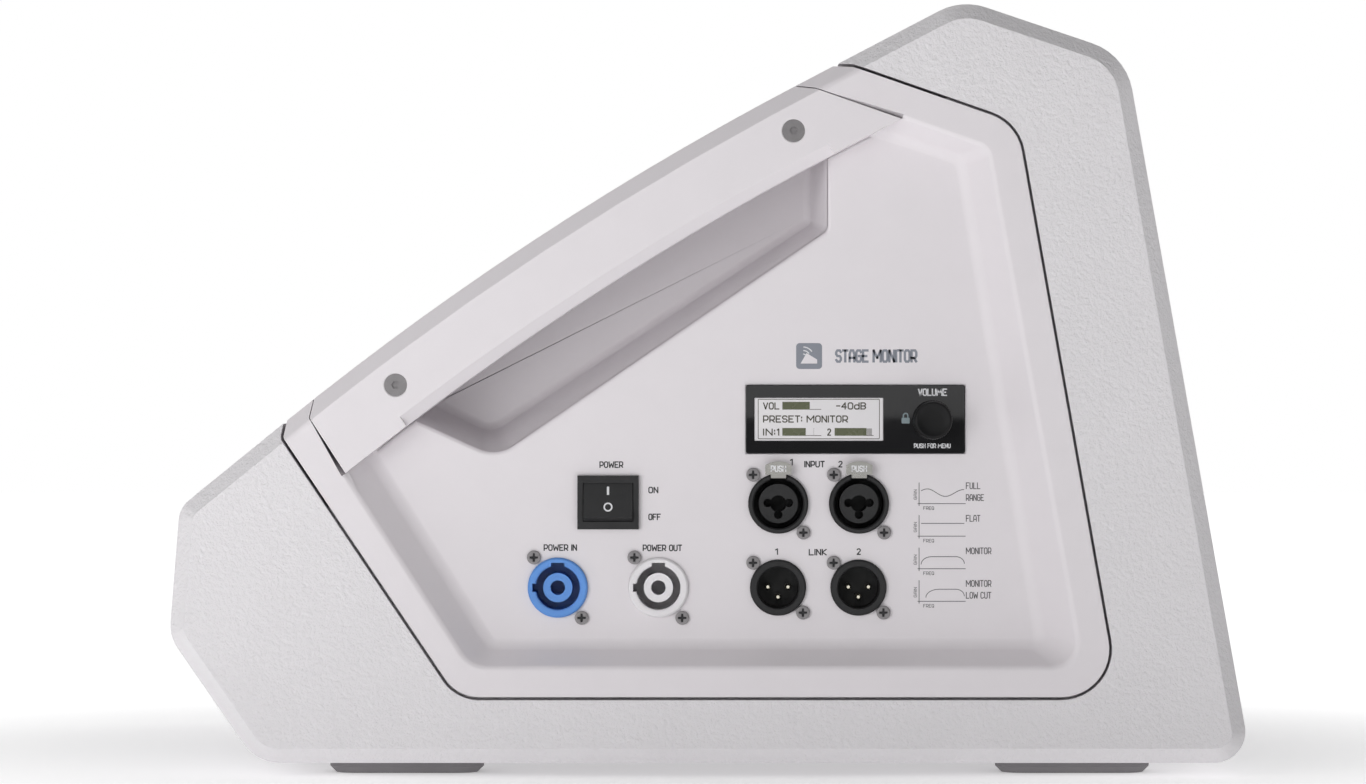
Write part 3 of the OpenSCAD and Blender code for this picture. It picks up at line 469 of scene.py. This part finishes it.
def pen_runs(points, pen):
    """Splits a line where it turns back sharply, and runs its open ends on by part of the pen's width."""
    sharp = -0.3
    run_on = 0.35 * pen
    if points[0] == points[-1]:
        return [points]
    runs = [points[:1]]
    for before, spot, after in zip(points, points[1:], points[2:]):
        runs[-1].append(spot)
        if (spot - before).normalized().dot((after - spot).normalized()) < sharp:
            runs.append([spot])
    runs[-1].append(points[-1])
    return [[run[0] + (run[0] - run[1]).normalized() * run_on] + run[1:-1]
            + [run[-1] + (run[-1] - run[-2]).normalized() * run_on] for run in runs]


def word(bm, text, centre, cap, width, low, high, weight=1.05, turn=0.0):
    """Raised lettering of the given capital height and width about a flat centre, with a pen of
    that weight in grid units."""
    gap = 1.7
    space = 1.6
    lines, x = [], 0
    for letter in text:
        drawn = [[(int(spot[0]), int(spot[1])) for spot in line.split()]
                 for line in GLYPHS[letter].split("|") if line]
        lines += [[(x + right, up) for right, up in line] for line in drawn]
        x += max([right for line in drawn for right, _ in line], default=space) + gap
    total = max(x - gap, 1)
    pen = weight * cap / CELLS
    spin = Matrix.Rotation(math.radians(turn), 2)
    for line in lines:
        points = [spin @ Vector(((right / total - 0.5) * (width - pen), (up / CELLS - 0.5) * (cap - pen)))
                  + Vector(centre) for right, up in line]
        for run in pen_runs(points, pen):
            stroke(bm, [tuple(point) for point in run], pen, low, high)


def lathe(bm, profile, steps=64, centre=(0, 0), flutes=0):
    """Solid turned round the flat centre from (radius, height, flute depth) points.
    A radius of 0 closes it."""
    rings = []
    for radius, height, depth in profile:
        if radius == 0:
            rings.append([bm.verts.new((centre[0], centre[1], height))])
            continue
        ring = []
        for k in range(steps):
            angle = 2 * math.pi * k / steps
            r = radius - depth * (0.5 - 0.5 * math.cos(flutes * angle))
            spot = (centre[0] + r * math.cos(angle), centre[1] + r * math.sin(angle), height)
            ring.append(bm.verts.new(spot))
        rings.append(ring)
    for a, b in zip(rings, rings[1:]):
        for k in range(steps):
            n = (k + 1) % steps
            corners = [a[k % len(a)], a[n % len(a)], b[n % len(b)], b[k % len(b)]]
            bm.faces.new(list(dict.fromkeys(corners)))


def plate(bm, outlines, low, high, bevel):
    """Flat plate with rounded edges; the first outline is its edge and the others are holes."""
    curve = bpy.data.curves.new("plate", "CURVE")
    curve.dimensions = "2D"
    curve.fill_mode = "BOTH"
    curve.extrude = (high - low) / 2 - bevel
    curve.bevel_depth = bevel
    curve.bevel_resolution = 2
    curve.offset = -bevel
    for outline in outlines:
        spline = curve.splines.new("POLY")
        spline.points.add(len(outline) - 1)
        for point, (x, y) in zip(spline.points, outline):
            point.co = (x, y, 0, 1)
        spline.use_cyclic_u = True
    cutter = bpy.data.objects.new("plate", curve)
    mesh = bpy.data.meshes.new_from_object(cutter)
    bpy.data.objects.remove(cutter)
    bpy.data.curves.remove(curve)
    mesh.transform(Matrix.Translation((0, 0, (low + high) / 2)))
    bm.from_mesh(mesh)
    bpy.data.meshes.remove(mesh)
    bmesh.ops.remove_doubles(bm, verts=bm.verts, dist=0.001 * MM)


def surface(node):
    """A CAD node's surface, for finding points on it."""
    mesh = NODES[node].data
    return BVHTree.FromPolygons([v.co for v in mesh.vertices], [p.vertices for p in mesh.polygons])


def drape(bm, node):
    """Presses a flat drawing, already in place on the panel, onto the CAD node behind it."""
    tree = surface(node)
    for vert in bm.verts:
        hit = tree.ray_cast(Vector((HALF_W, vert.co.y, vert.co.z)), Vector((-1, 0, 0)))[0]
        vert.co.x += hit.x - DISH_X


def moulding_edges(bm, plane, concave, least, most, keep_off):
    """Edges of a side moulding that lie in a plane that far from the middle, turn inwards or outwards
    by an angle between least and most degrees, and are outside the boxes to keep off."""
    near = 0.15 * MM
    margin = 3 * MM
    found = []
    for edge in bm.edges:
        signed = math.degrees(edge.calc_face_angle_signed(0))
        flat = all(abs(abs(vert.co.x) - plane) < near for vert in edge.verts)
        if not flat or (signed < 0) != concave or not least <= abs(signed) < most:
            continue
        spot = (edge.verts[0].co + edge.verts[1].co) / 2
        if not any(low.y - margin < spot.y < high.y + margin
                   and low.z - margin < spot.z < high.z + margin for low, high in keep_off):
            found.append(edge)
    return found


def make_moulding(side, keep_off):
    """Side moulding with soft corners round the dish, its rim and the hand pocket."""
    node = "side_panel_" + side
    pocket_depth = 35 * MM
    pocket_floor = DISH_X - pocket_depth
    bm = bmesh.new()
    bm.from_mesh(NODES[node].data)
    bmesh.ops.remove_doubles(bm, verts=bm.verts, dist=WELD)
    bmesh.ops.dissolve_limit(bm, angle_limit=FLAT_ANGLE, verts=bm.verts, edges=bm.edges)
    # Plane, whether the edge turns inwards, least and most angle in degrees, width
    fillets = ((DISH_X, True, 30, 70, 3.5 * MM), (HALF_W, False, 30, 70, 1.6 * MM),
               (DISH_X, False, 75, 120, 2.0 * MM), (pocket_floor, True, 20, 120, 3.0 * MM))
    for plane, concave, least, most, width in fillets:
        edges = moulding_edges(bm, plane, concave, least, most, keep_off)
        bmesh.ops.bevel(bm, geom=edges, offset=width, offset_type="OFFSET", segments=4, profile=0.5,
                        affect="EDGES", clamp_overlap=False, miter_outer="ARC", loop_slide=False)
    moulding = piece("moulding_" + side, bm, LOOKS["moulded_white"], smooth=32)
    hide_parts(node)


# ---- control panel pieces ----

# Printing stands this far off its surface, and starts this far below it
RISE = 0.05 * MM
SUNK = -0.02 * MM
FITTINGS = ("display_window", "switch_housing", "input_socket_1", "input_socket_2", "link_socket_1",
            "link_socket_2", "mains_inlet", "mains_outlet")


def make_knob():
    """Turned knob with a finely fluted side, a rolled rim and a shallow dished face, on its shaft."""
    low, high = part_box("volume_knob")
    radius = (high.z - low.z) / 2
    face = high.x - DISH_X
    shaft = 3 * MM
    back = low.x - DISH_X
    flute = 0.22 * MM
    foot = 2.6 * MM
    profile = [(0, back, 0), (shaft * 0.9, back, 0), (shaft, back + 0.4 * MM, 0), (shaft, foot, 0),
               (radius - 0.5 * MM, foot, 0), (radius - 0.1 * MM, foot + 0.3 * MM, 0),
               (radius, foot + 0.9 * MM, 0), (radius, foot + 1.0 * MM, flute),
               (radius - 0.35 * MM, face - 1.5 * MM, flute), (radius - 0.40 * MM, face - 1.3 * MM, 0),
               (radius - 0.52 * MM, face - 0.7 * MM, 0), (radius - 0.85 * MM, face - 0.18 * MM, 0),
               (radius - 1.3 * MM, face, 0), (radius - 1.7 * MM, face - 0.1 * MM, 0),
               (radius - 2.1 * MM, face - 0.35 * MM, 0), (radius * 0.45, face - 0.7 * MM, 0),
               (0, face - 0.8 * MM, 0)]
    bm = bmesh.new()
    lathe(bm, profile, steps=288, flutes=48)
    knob = piece("knob_turned", bm, KNOB_BLACK, body="knob",
                 place=on_panel("volume_knob"))
    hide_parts("volume_knob")


def lcd_corners():
    """Corners of the visible display, flat about the bezel's middle, and the bezel's half size."""
    centre = middle("display_window")
    low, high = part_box("lcd_module")
    wall = 1.4 * MM
    near = (low.y + wall - centre.y, low.z + wall - centre.z)
    far = (high.y - wall - centre.y, high.z - wall - centre.z)
    half = (WINDOW_HIGH - WINDOW_LOW) / 2
    return near, far, (half.y, half.z)


def make_bezel():
    """Glossy display bezel with a display opening and a hole for the knob's shaft."""
    near, far, half = lcd_corners()
    shaft = middle("volume_knob") - middle("display_window")
    hole_radius = 3.6 * MM
    edge_round = 0.22 * MM
    outlines = [rounded_box((-half[0], -half[1]), half, 0.9 * MM), rounded_box(near, far, 0.35 * MM, 3),
                circle((shaft.y, shaft.z), hole_radius, 48)]
    bm = bmesh.new()
    plate(bm, outlines, WINDOW_LOW.x - DISH_X, WINDOW_HIGH.x - DISH_X, edge_round)
    bezel = piece("display_bezel", bm, LOOKS["gloss_black"],
                  place=on_panel("display_window"), smooth=5)
    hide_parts("display_window")


def draw_display():
    """Thin frame, lettering and level bars on the backlit display."""
    near, far, _ = lcd_corners()
    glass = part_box("lcd_module")[1].x - DISH_X
    low, high = glass + SUNK, glass + RISE
    cap = 2.9
    line = 0.2 * MM
    rows = [2.0, 7.2, 12.4]

    def spot(right, up):
        """Place on the display, in millimetres from its lower left corner."""
        return near[0] + right * MM, near[1] + up * MM

    ink = bmesh.new()
    border = rounded_box(spot(1.5, 0.8), (far[0] - 1.5 * MM, far[1] - 0.6 * MM), 0.2 * MM, 1)
    stroke(ink, border + border[:1], 0.26 * MM, low, high)
    words = [("VOL", 3.4, 10.0, 2), ("-40dB", 32.4, 44.4, 2), ("PRESET: MONITOR", 3.4, 37.2, 1),
             ("IN:1", 3.4, 9.9, 0), ("2", 28.9, 30.5, 0)]
    for text, start, end, row in words:
        word(ink, text, spot((start + end) / 2, rows[row] + cap / 2), cap * MM, (end - start) * MM,
             low, high, weight=1.0)
    for start, end, row in ((22.0, 26.6, 2), (20.4, 26.6, 0), (44.6, 47.4, 0)):
        prism(ink, rectangle(spot(start, rows[row]), spot(end, rows[row] + 0.22)), low, high)
    for k in range(5):
        dash = rows[0] + 0.5 + 0.55 * k
        tick = 44.9 + 0.42 * k
        stroke(ink, [spot(23.6, dash), spot(23.6, dash + 0.25)], line, low, high)
        stroke(ink, [spot(tick, rows[0]), spot(tick, rows[0] + cap)], line, low, high)
    piece("display_lettering", ink, LCD_INK, place=on_panel("display_window"))
    bars = bmesh.new()
    for start, end, row in ((11.1, 22.0, 2), (11.1, 20.4, 0), (31.9, 44.6, 0)):
        prism(bars, rectangle(spot(start, rows[row]), spot(end, rows[row] + 1.06 * cap)), low, high)
    piece("display_bars", bars, BAR_INK, place=on_panel("display_window"))


def label_bezel():
    """White words above and below the knob, and a small padlock beside it."""
    glass = WINDOW_HIGH.x - DISH_X
    low, high = glass + SUNK, glass + RISE
    place = on_panel("volume_knob")
    words = bmesh.new()
    word(words, "VOLUME", (0.1 * MM, 11.1 * MM), 3.0 * MM, 11.6 * MM, low, high)
    word(words, "PUSH FOR MENU", (0, -10.2 * MM), 1.9 * MM, 14.6 * MM, low, high)
    piece("knob_words", words, PALE_INK, place=place)
    lock = bmesh.new()
    prism(lock, rounded_box((-12.2 * MM, -1.3 * MM), (-9.0 * MM, 1.0 * MM), 0.3 * MM, 2), low, high)
    bow = arc((-10.6 * MM, 1.8 * MM), 0.9 * MM, 180, 0, 10)
    shackle = [(-11.5 * MM, 0.9 * MM)] + bow + [(-9.7 * MM, 0.9 * MM)]
    stroke(lock, shackle, 0.5 * MM, low, high)
    piece("lock_symbol", lock, BLUE_GREY_INK, place=place)


def letter_panel():
    """Printed functional words beside the switch and the sockets."""
    words = bmesh.new()
    origin = middle("switch_housing")
    cap = 2.65 * MM
    # Word, the node it stands beside, millimetres to the right and up from its middle, width
    places = [("POWER", "switch_housing", 1.3, 15.0, 9.5), ("ON", "switch_housing", 18.0, 4.9, 4.0),
              ("OFF", "switch_housing", 18.5, -5.8, 5.0), ("POWER IN", "mains_inlet", 1.0, 15.9, 13.3),
              ("POWER OUT", "mains_outlet", 1.6, 15.8, 15.7), ("INPUT", "input_insert_1", 14.4, 15.7, 8.2),
              ("1", "input_insert_1", 5.2, 16.5, 1.2), ("2", "input_insert_2", -7.4, 15.7, 1.7),
              ("LINK", "link_socket_1", 15.8, 14.1, 7.2), ("1", "link_socket_1", -0.6, 14.3, 1.2),
              ("2", "link_socket_2", 0.1, 14.3, 1.7)]
    for text, node, right, up, width in places:
        centre = middle(node) - origin
        at = (centre.y + right * MM, centre.z + up * MM)
        word(words, text, at, cap, width * MM, SUNK, RISE)
    piece("panel_words", words, INK, place=on_panel("switch_housing"))


def response_curve(kind):
    """Points of one response drawing in millimetres, from its axis corner."""
    if kind == "wave":
        return [(0.8 + 17.1 * t, 4.3 + 1.6 * math.sin(0.5 + 7.4 * t) * (1 - 0.2 * t)) for t in
                (k / 40 for k in range(41))]
    if kind == "flat":
        return [(0.8, 5.1), (18.0, 5.1)]
    start, rise_end, foot = (0.8, 5.0, 1.7) if kind == "arch" else (2.7, 8.0, 1.5)
    left = [(start + (rise_end - start) * (1 - math.cos(a)), foot + (4.8 - foot) * math.sin(a))
            for a in (math.pi / 2 * k / 10 for k in range(11))]
    right = [(14.6 + 3.4 * math.sin(a), 4.8 - 2.8 * (1 - math.cos(a)))
             for a in (math.pi / 2 * k / 10 for k in range(11))]
    return left + right


def draw_responses():
    """Four small response drawings beside the sockets, each with its two axes and its name."""
    drawing = bmesh.new()
    line = 0.28 * MM
    left = 23.9 * MM
    step = 12.95 * MM
    names = (("wave", ("FULL", "RANGE")), ("flat", ("FLAT",)), ("arch", ("MONITOR",)),
             ("cut", ("MONITOR", "LOW CUT")))
    letter_width = 1.45 * MM
    line_step = 4.7
    for k, (kind, lines) in enumerate(names):
        base = -k * step
        stroke(drawing, [(left, base - 0.9 * MM), (left, base + 8.4 * MM)], line, SUNK, RISE)
        stroke(drawing, [(left - 0.6 * MM, base), (left + 18.5 * MM, base)], line, SUNK, RISE)
        points = [(left + x * MM, base + y * MM) for x, y in response_curve(kind)]
        stroke(drawing, points, line, SUNK, RISE)
        word(drawing, "GAIN", (left - 1.5 * MM, base + 3.6 * MM), 1.3 * MM, 4.0 * MM, SUNK, RISE,
             weight=0.8, turn=90)
        word(drawing, "FREQ", (left + 3.8 * MM, base - 1.8 * MM), 1.4 * MM, 4.3 * MM, SUNK, RISE,
             weight=0.8)
        for row, text in enumerate(lines):
            width = letter_width * len(text)
            at = (left + 18.6 * MM + width / 2, base + (7.1 - line_step * row) * MM)
            word(drawing, text, at, 2.7 * MM, width, SUNK, RISE, weight=0.75)
    piece("response_drawings", drawing, THIN_INK, place=on_panel("input_insert_2"))


def draw_badge():
    """Plain grey badge with a picture of a wedge and its sound, and the kind of product beside it."""
    ink = bmesh.new()
    half = 5.15 * MM
    loop = rounded_box((-half, -half), (half, half), 1.4 * MM)
    wedge = [(-3.4 * MM, -3.0 * MM), (3.2 * MM, -3.0 * MM), (3.2 * MM, -1.4 * MM), (-1.0 * MM, 1.2 * MM)]
    plate(ink, [loop, wedge], SUNK, RISE, 0.004 * MM)
    word(ink, "STAGE MONITOR", (26.7 * MM, 0), 5.4 * MM, 32.8 * MM, SUNK, RISE)
    centre = middle("display_window")
    across = Matrix.Translation((0, centre.y - 18.4 * MM, centre.z + 25.15 * MM))
    flat = Matrix(((0, 0, 1, DISH_X), (1, 0, 0, 0), (0, 1, 0, 0), (0, 0, 0, 1)))
    piece("badge", ink, GREY_INK, place=across @ flat)
    waves = bmesh.new()
    source = (-2.4 * MM, -0.7 * MM)
    for radius in (1.5, 2.9, 4.3):
        wave = arc(source, radius * MM, 35, 88, 10)
        stroke(waves, wave, 0.45 * MM, RISE * 0.5, RISE * 1.3)
    piece("badge_waves", waves, PALE_INK, place=across @ flat)


def mark_rocker():
    """White line and ring pressed on the rocker's face."""
    marks = bmesh.new()
    prism(marks, rounded_box((-0.45 * MM, 3.0 * MM), (0.45 * MM, 6.3 * MM), 0.15 * MM, 2), SUNK, RISE)
    stroke(marks, arc((0, -1.8 * MM), 1.5 * MM, 0, 360, 32), 0.6 * MM, SUNK, RISE)
    bmesh.ops.transform(marks, matrix=on_panel("switch_housing"), verts=marks.verts)
    drape(marks, "power_rocker")
    piece("rocker_marks", marks, PALE_INK, body="rocker")


def mark_latches():
    """The word PUSH on each release latch."""
    for k in ("1", "2"):
        words = bmesh.new()
        word(words, "PUSH", (0, 0), 2.6 * MM, 6.2 * MM, SUNK, RISE)
        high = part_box("latch_tab_" + k)[1]
        top = Matrix.Translation((high.x - DISH_X, 0, 0.5 * MM))
        place = top @ on_panel("latch_tab_" + k)
        piece("latch_word_" + k, words, PALE_INK, body="latch_" + k, place=place)


# ---- screws ----

def islands(node):
    """Boxes of a CAD node's separate solids, one for each screw of a set."""
    bm = bmesh.new()
    bm.from_mesh(NODES[node].data)
    bmesh.ops.remove_doubles(bm, verts=bm.verts, dist=WELD)
    left = set(bm.verts)
    boxes = []
    while left:
        group, queue = set(), [left.pop()]
        while queue:
            vert = queue.pop()
            group.add(vert)
            near = {edge.other_vert(vert) for edge in vert.link_edges} & left
            left -= near
            queue += near
        spots = [vert.co for vert in group]
        boxes.append((Vector(map(min, zip(*spots))), Vector(map(max, zip(*spots)))))
    bm.free()
    return boxes


def cross(half_length, half_width):
    """Outline of an upright cross with slightly tapered arms."""
    tip = 0.8 * half_width
    arm = [(half_length, -tip), (half_length, tip), (half_width, half_width)]
    return [(x * c - y * s, x * s + y * c) for c, s in ((1, 0), (0, 1), (-1, 0), (0, -1)) for x, y in arm]


def make_cross_screws(node, turn):
    """Pan-head screws with a cross recess, standing for a CAD set whose axes lie along X; the recess floor is dark
    steel as painted shade.
    """
    heads, shanks_and_recess_shade = bmesh.new(), bmesh.new()
    head_height = 1.1 * MM
    well = 0.95 * MM
    spin = Matrix.Rotation(math.radians(turn), 2)
    for low, high in islands(node):
        centre = (low + high) / 2
        side = 1 if centre.x > 0 else -1
        top = max(abs(low.x), abs(high.x))
        length = high.x - low.x
        radius = (high.y - low.y) / 2
        recess = [tuple(spin @ Vector(point)) for point in cross(0.6 * radius, 0.17 * radius)]
        rim = circle((0, 0), radius, 40)
        head = bmesh.new()
        plate(head, [rim, recess], -head_height, 0, 0.16 * MM)
        shank = bmesh.new()
        shaft = 0.5 * radius
        # Painted shade: the shank's top closes the cross recess at its floor, in dark steel that stands in for the
        # shade in the recess.
        lathe(shank, [(0, -length, 0), (0.6 * shaft, -length, 0), (shaft, -length + 1.2 * MM, 0),
                      (shaft, -head_height - 0.02 * MM, 0), (0.85 * radius, -head_height, 0),
                      (0.85 * radius, -well, 0), (0, -well, 0)], steps=32)
        place = Matrix(((0, 0, side, side * top), (side, 0, 0, centre.y), (0, 1, 0, centre.z),
                        (0, 0, 0, 1)))
        for source, target in ((head, heads), (shank, shanks_and_recess_shade)):
            bmesh.ops.transform(source, matrix=place, verts=source.verts)
            mesh = bpy.data.meshes.new("part")
            source.to_mesh(mesh)
            target.from_mesh(mesh)
            source.free()
            bpy.data.meshes.remove(mesh)
    made = piece(node + "_heads", heads, LOOKS["screw_steel"])
    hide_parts(node)
    # Painted shade: the dark steel of the recess floors.
    piece(node + "_shanks_and_recess_shade", shanks_and_recess_shade, LOOKS["black_steel"])


# ---- grille ----

SLOPE_OUT = Vector(next(j["axis"] for j in frame["joints"] if j["name"] == "cone_travel"))
SLOPE_UP = Vector((0, SLOPE_OUT.z, -SLOPE_OUT.y))


def slope_profile():
    """Function from a distance up the slope to the point of the CAD grille's outer face at x = 0,
    and the lowest and highest distance."""
    tree = surface("front_grille")
    clear_x = 60 * MM
    spots = [v.co.dot(SLOPE_UP) for v in NODES["front_grille"].data.vertices]
    low, high = min(spots), max(spots)
    inside = 1.0 * MM
    reach = 0.6

    def at(distance):
        held = min(max(distance, low + inside), high - inside)
        start = SLOPE_UP * held + SLOPE_OUT * reach + Vector((clear_x, 0, 0))
        hit = tree.ray_cast(start, -SLOPE_OUT)[0]
        return Vector((0, hit.y, hit.z)) + SLOPE_UP * (distance - held)

    return at, low, high


def make_grille():
    """Perforated steel grille, curved like the CAD one, with its edges folded back."""
    pitch = 6.0 * MM
    hole = 2.05 * MM
    border = 9.5 * MM
    fold = 1.2 * MM
    lip = 9.0 * MM
    sheet = 1.2 * MM
    row_step = pitch * math.sqrt(3) / 2
    at, low, high = slope_profile()
    half_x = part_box("front_grille")[1].x - fold
    low, high = low + fold, high - fold
    centre_s = (low + high) / 2
    half_s = (high - low) / 2
    columns = int(2 * (half_x - border) / pitch)
    rows = int(2 * (half_s - border) / row_step)
    bm = bmesh.new()
    shared = {}

    def corner(x, s):
        """Corner that neighbouring hexagons share."""
        key = (round(x / (0.01 * MM)), round(s / (0.01 * MM)))
        if key not in shared:
            shared[key] = bm.verts.new((x, s, 0))
        return shared[key]

    for row in range(rows):
        s = (row - (rows - 1) / 2) * row_step
        odd = row % 2
        for column in range(columns - odd):
            x = (column - (columns - 1 - odd) / 2) * pitch
            hexagon = [corner(*spot) for spot in circle((x, s), pitch / math.sqrt(3), 6, start=30)]
            ring = [bm.verts.new((*spot, 0)) for spot in circle((x, s), hole, 12, start=30)]
            for k in range(6):
                n = (k + 1) % 6
                bm.faces.new((hexagon[k], hexagon[n], ring[2 * n], ring[2 * k + 1], ring[2 * k]))
    corners = set(shared.values())
    lattice_edges = [edge for edge in bm.edges if len(edge.link_faces) == 1
                     and all(vert in corners for vert in edge.verts)]
    outer = []
    across_count, up_count = 48, 52
    for x0, s0, x1, s1, count in ((-1, -1, 1, -1, across_count), (1, -1, 1, 1, up_count),
                                  (1, 1, -1, 1, across_count), (-1, 1, -1, -1, up_count)):
        for k in range(count):
            t = k / count
            outer.append((x0 + (x1 - x0) * t, s0 + (s1 - s0) * t))
    rim = [bm.verts.new((x * half_x, s * half_s, 0)) for x, s in outer]
    rim_edges = [bm.edges.new((rim[k], rim[(k + 1) % len(rim)])) for k in range(len(rim))]
    bmesh.ops.triangle_fill(bm, use_beauty=True, edges=lattice_edges + rim_edges)
    previous = rim
    turns = [math.pi / 2 * k / 4 for k in range(1, 5)]
    folds = [(fold * math.sin(a), fold * (1 - math.cos(a))) for a in turns]
    folds.append((fold, lip))
    for grow, depth in folds:
        ring = [bm.verts.new((x * (half_x + grow), s * (half_s + grow), -depth)) for x, s in outer]
        for k in range(len(ring)):
            n = (k + 1) % len(ring)
            bm.faces.new((previous[k], previous[n], ring[n], ring[k]))
        previous = ring
    profile = {}
    for vert in bm.verts:
        key = round(vert.co.y / (0.02 * MM))
        if key not in profile:
            profile[key] = at(centre_s + vert.co.y)
        spot = profile[key]
        vert.co = Vector((vert.co.x, spot.y, spot.z)) + SLOPE_OUT * vert.co.z
    grille = piece("grille_perforated", bm, LOOKS["grille_paint"], smooth=30, even=False)
    thick = grille.modifiers.new("sheet", "SOLIDIFY")
    thick.thickness = sheet
    thick.offset = -1
    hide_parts("front_grille")


# ---- stage ----

def add_camera():
    """Level camera that looks along -X, at the photograph's distance and framing."""
    distance = 2.2
    aim_y, aim_z = -9.8 * MM, 153 * MM
    camera = bpy.data.cameras.new("camera")
    camera.sensor_width = 36.0
    camera.lens = 146.7
    eye = bpy.data.objects.new("camera", camera)
    bpy.context.scene.collection.objects.link(eye)
    eye.location = (HALF_W + distance, aim_y, aim_z)
    eye.rotation_euler = (math.pi / 2, 0, math.pi / 2)
    bpy.context.scene.camera = eye


def add_floor():
    """Pale floor with painted light: it glows, least near the middle under the cabinet, which leaves painted shade
    round it, and more further out, so that its far edge melts into the backdrop.
    """
    reach = 6.0
    mesh = bpy.data.meshes.new("floor")
    corners = [(x, y, FLOOR_Z) for x, y in rectangle((-reach, -reach), (reach, reach))]
    mesh.from_pydata(corners, [], [(0, 1, 2, 3)])
    floor = bpy.data.objects.new("floor", mesh)
    bpy.context.scene.collection.objects.link(floor)
    look, shader = new_look("floor", 0.9, specular=0.0)
    mottle(look.node_tree, shader, (0.93, 0.93, 0.935), 400 * MM, 0.005)
    tree = look.node_tree
    away = tree.nodes.new("ShaderNodeVectorMath")
    away.operation = "LENGTH"
    tree.links.new(coordinates(tree), away.inputs[0])
    # Painted light and shade: the floor's glow rises from a quarter near the cabinet to three quarters further
    # out.
    painted_floor_light = tree.nodes.new("ShaderNodeMapRange")
    painted_floor_light.inputs["From Min"].default_value = 0.18
    painted_floor_light.inputs["From Max"].default_value = 0.50
    painted_floor_light.inputs["To Min"].default_value = 0.25
    painted_floor_light.inputs["To Max"].default_value = 0.75
    tree.links.new(away.outputs["Value"], painted_floor_light.inputs["Value"])
    tree.links.new(painted_floor_light.outputs["Result"], shader.inputs["Emission Strength"])
    shader.inputs["Emission Color"].default_value = (1, 1, 1, 1)
    mesh.materials.append(look)
    floor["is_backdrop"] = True


def add_softbox(name, at, target, size, power, mirrored=True, lights=True):
    """Rectangular light that faces the target and isn't itself seen by the camera.
    It may be left out of reflections, or be seen in reflections only."""
    light = bpy.data.lights.new(name, "AREA")
    light.shape = "RECTANGLE"
    light.size, light.size_y = size
    light.energy = power
    box = bpy.data.objects.new(name, light)
    bpy.context.scene.collection.objects.link(box)
    box.location = at
    box.rotation_euler = (Vector(target) - Vector(at)).to_track_quat("-Z", "Y").to_euler()
    box.visible_camera = False
    box.visible_glossy = mirrored
    box.visible_diffuse = lights


def add_world():
    """Dim white world, brighter above and in front, with a white backdrop for the camera."""
    world = bpy.data.worlds.new("studio")
    bpy.context.scene.world = world
    world.use_nodes = True
    tree = world.node_tree
    background = tree.nodes["Background"]
    direction = tree.nodes.new("ShaderNodeTexCoord").outputs["Generated"]
    lean = tree.nodes.new("ShaderNodeVectorMath")
    lean.operation = "DOT_PRODUCT"
    lean.inputs[1].default_value = (0.0, -0.10, 0.36)
    tree.links.new(direction, lean.inputs[0])
    level = tree.nodes.new("ShaderNodeMath")
    level.operation = "ADD"
    level.inputs[1].default_value = 0.10
    tree.links.new(lean.outputs["Value"], level.inputs[0])
    tree.links.new(level.outputs["Value"], background.inputs["Strength"])
    backdrop = tree.nodes.new("ShaderNodeBackground")
    backdrop.inputs["Strength"].default_value = 1.0
    either = tree.nodes.new("ShaderNodeMixShader")
    rays = tree.nodes.new("ShaderNodeLightPath")
    tree.links.new(rays.outputs["Is Camera Ray"], either.inputs["Fac"])
    tree.links.new(background.outputs["Background"], either.inputs[1])
    tree.links.new(backdrop.outputs["Background"], either.inputs[2])
    tree.links.new(either.outputs["Shader"], tree.nodes["World Output"].inputs["Surface"])
    background.inputs["Color"].default_value = (1, 1, 1, 1)
    backdrop.inputs["Color"].default_value = (1, 1, 1, 1)


def add_light():
    """A near softbox, a far one that is only mirrored, and a fill in front and behind."""
    add_world()
    add_softbox("near_softbox", (1.35, -0.95, 0.35), (HALF_W, -0.05, 0.12), (0.9, 0.9), 3.0)
    add_softbox("far_softbox", (4.0, -1.1, 1.05), (0.0, -1.1, 1.05), (3.0, 1.85), 17.0, lights=False)
    add_softbox("front_fill", (0.75, -0.35, 0.10), (HALF_W, -0.10, 0.12), (0.4, 0.4), 1.1, mirrored=False)
    add_softbox("rear_fill", (-2.6, 2.4, 1.6), (0.0, 0.0, 0.15), (2.5, 2.5), 22.0)
    bpy.context.scene.view_settings.view_transform = "Standard"


# ---- build ----

paint_nodes()
soften("cabinet_shell", (60, 0.7 * MM, 2), (40, 4.0 * MM, 4))
fitting_boxes = [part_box(node) for node in FITTINGS]
for side in ("control", "plain"):
    make_moulding(side, fitting_boxes)
    soften("handle_bar_" + side, (20, 0.8 * MM, 2))
soften("power_rocker", (30, 0.5 * MM, 3))
make_knob()
make_bezel()
draw_display()
label_bezel()
letter_panel()
draw_responses()
draw_badge()
mark_rocker()
mark_latches()
make_cross_screws("connector_screws", 0)
make_cross_screws("pole_socket_screws", 30)
make_grille()
add_camera()
add_floor()
add_light()
[[list(corner) for corner in box] for box in (CAD_BOX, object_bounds())]
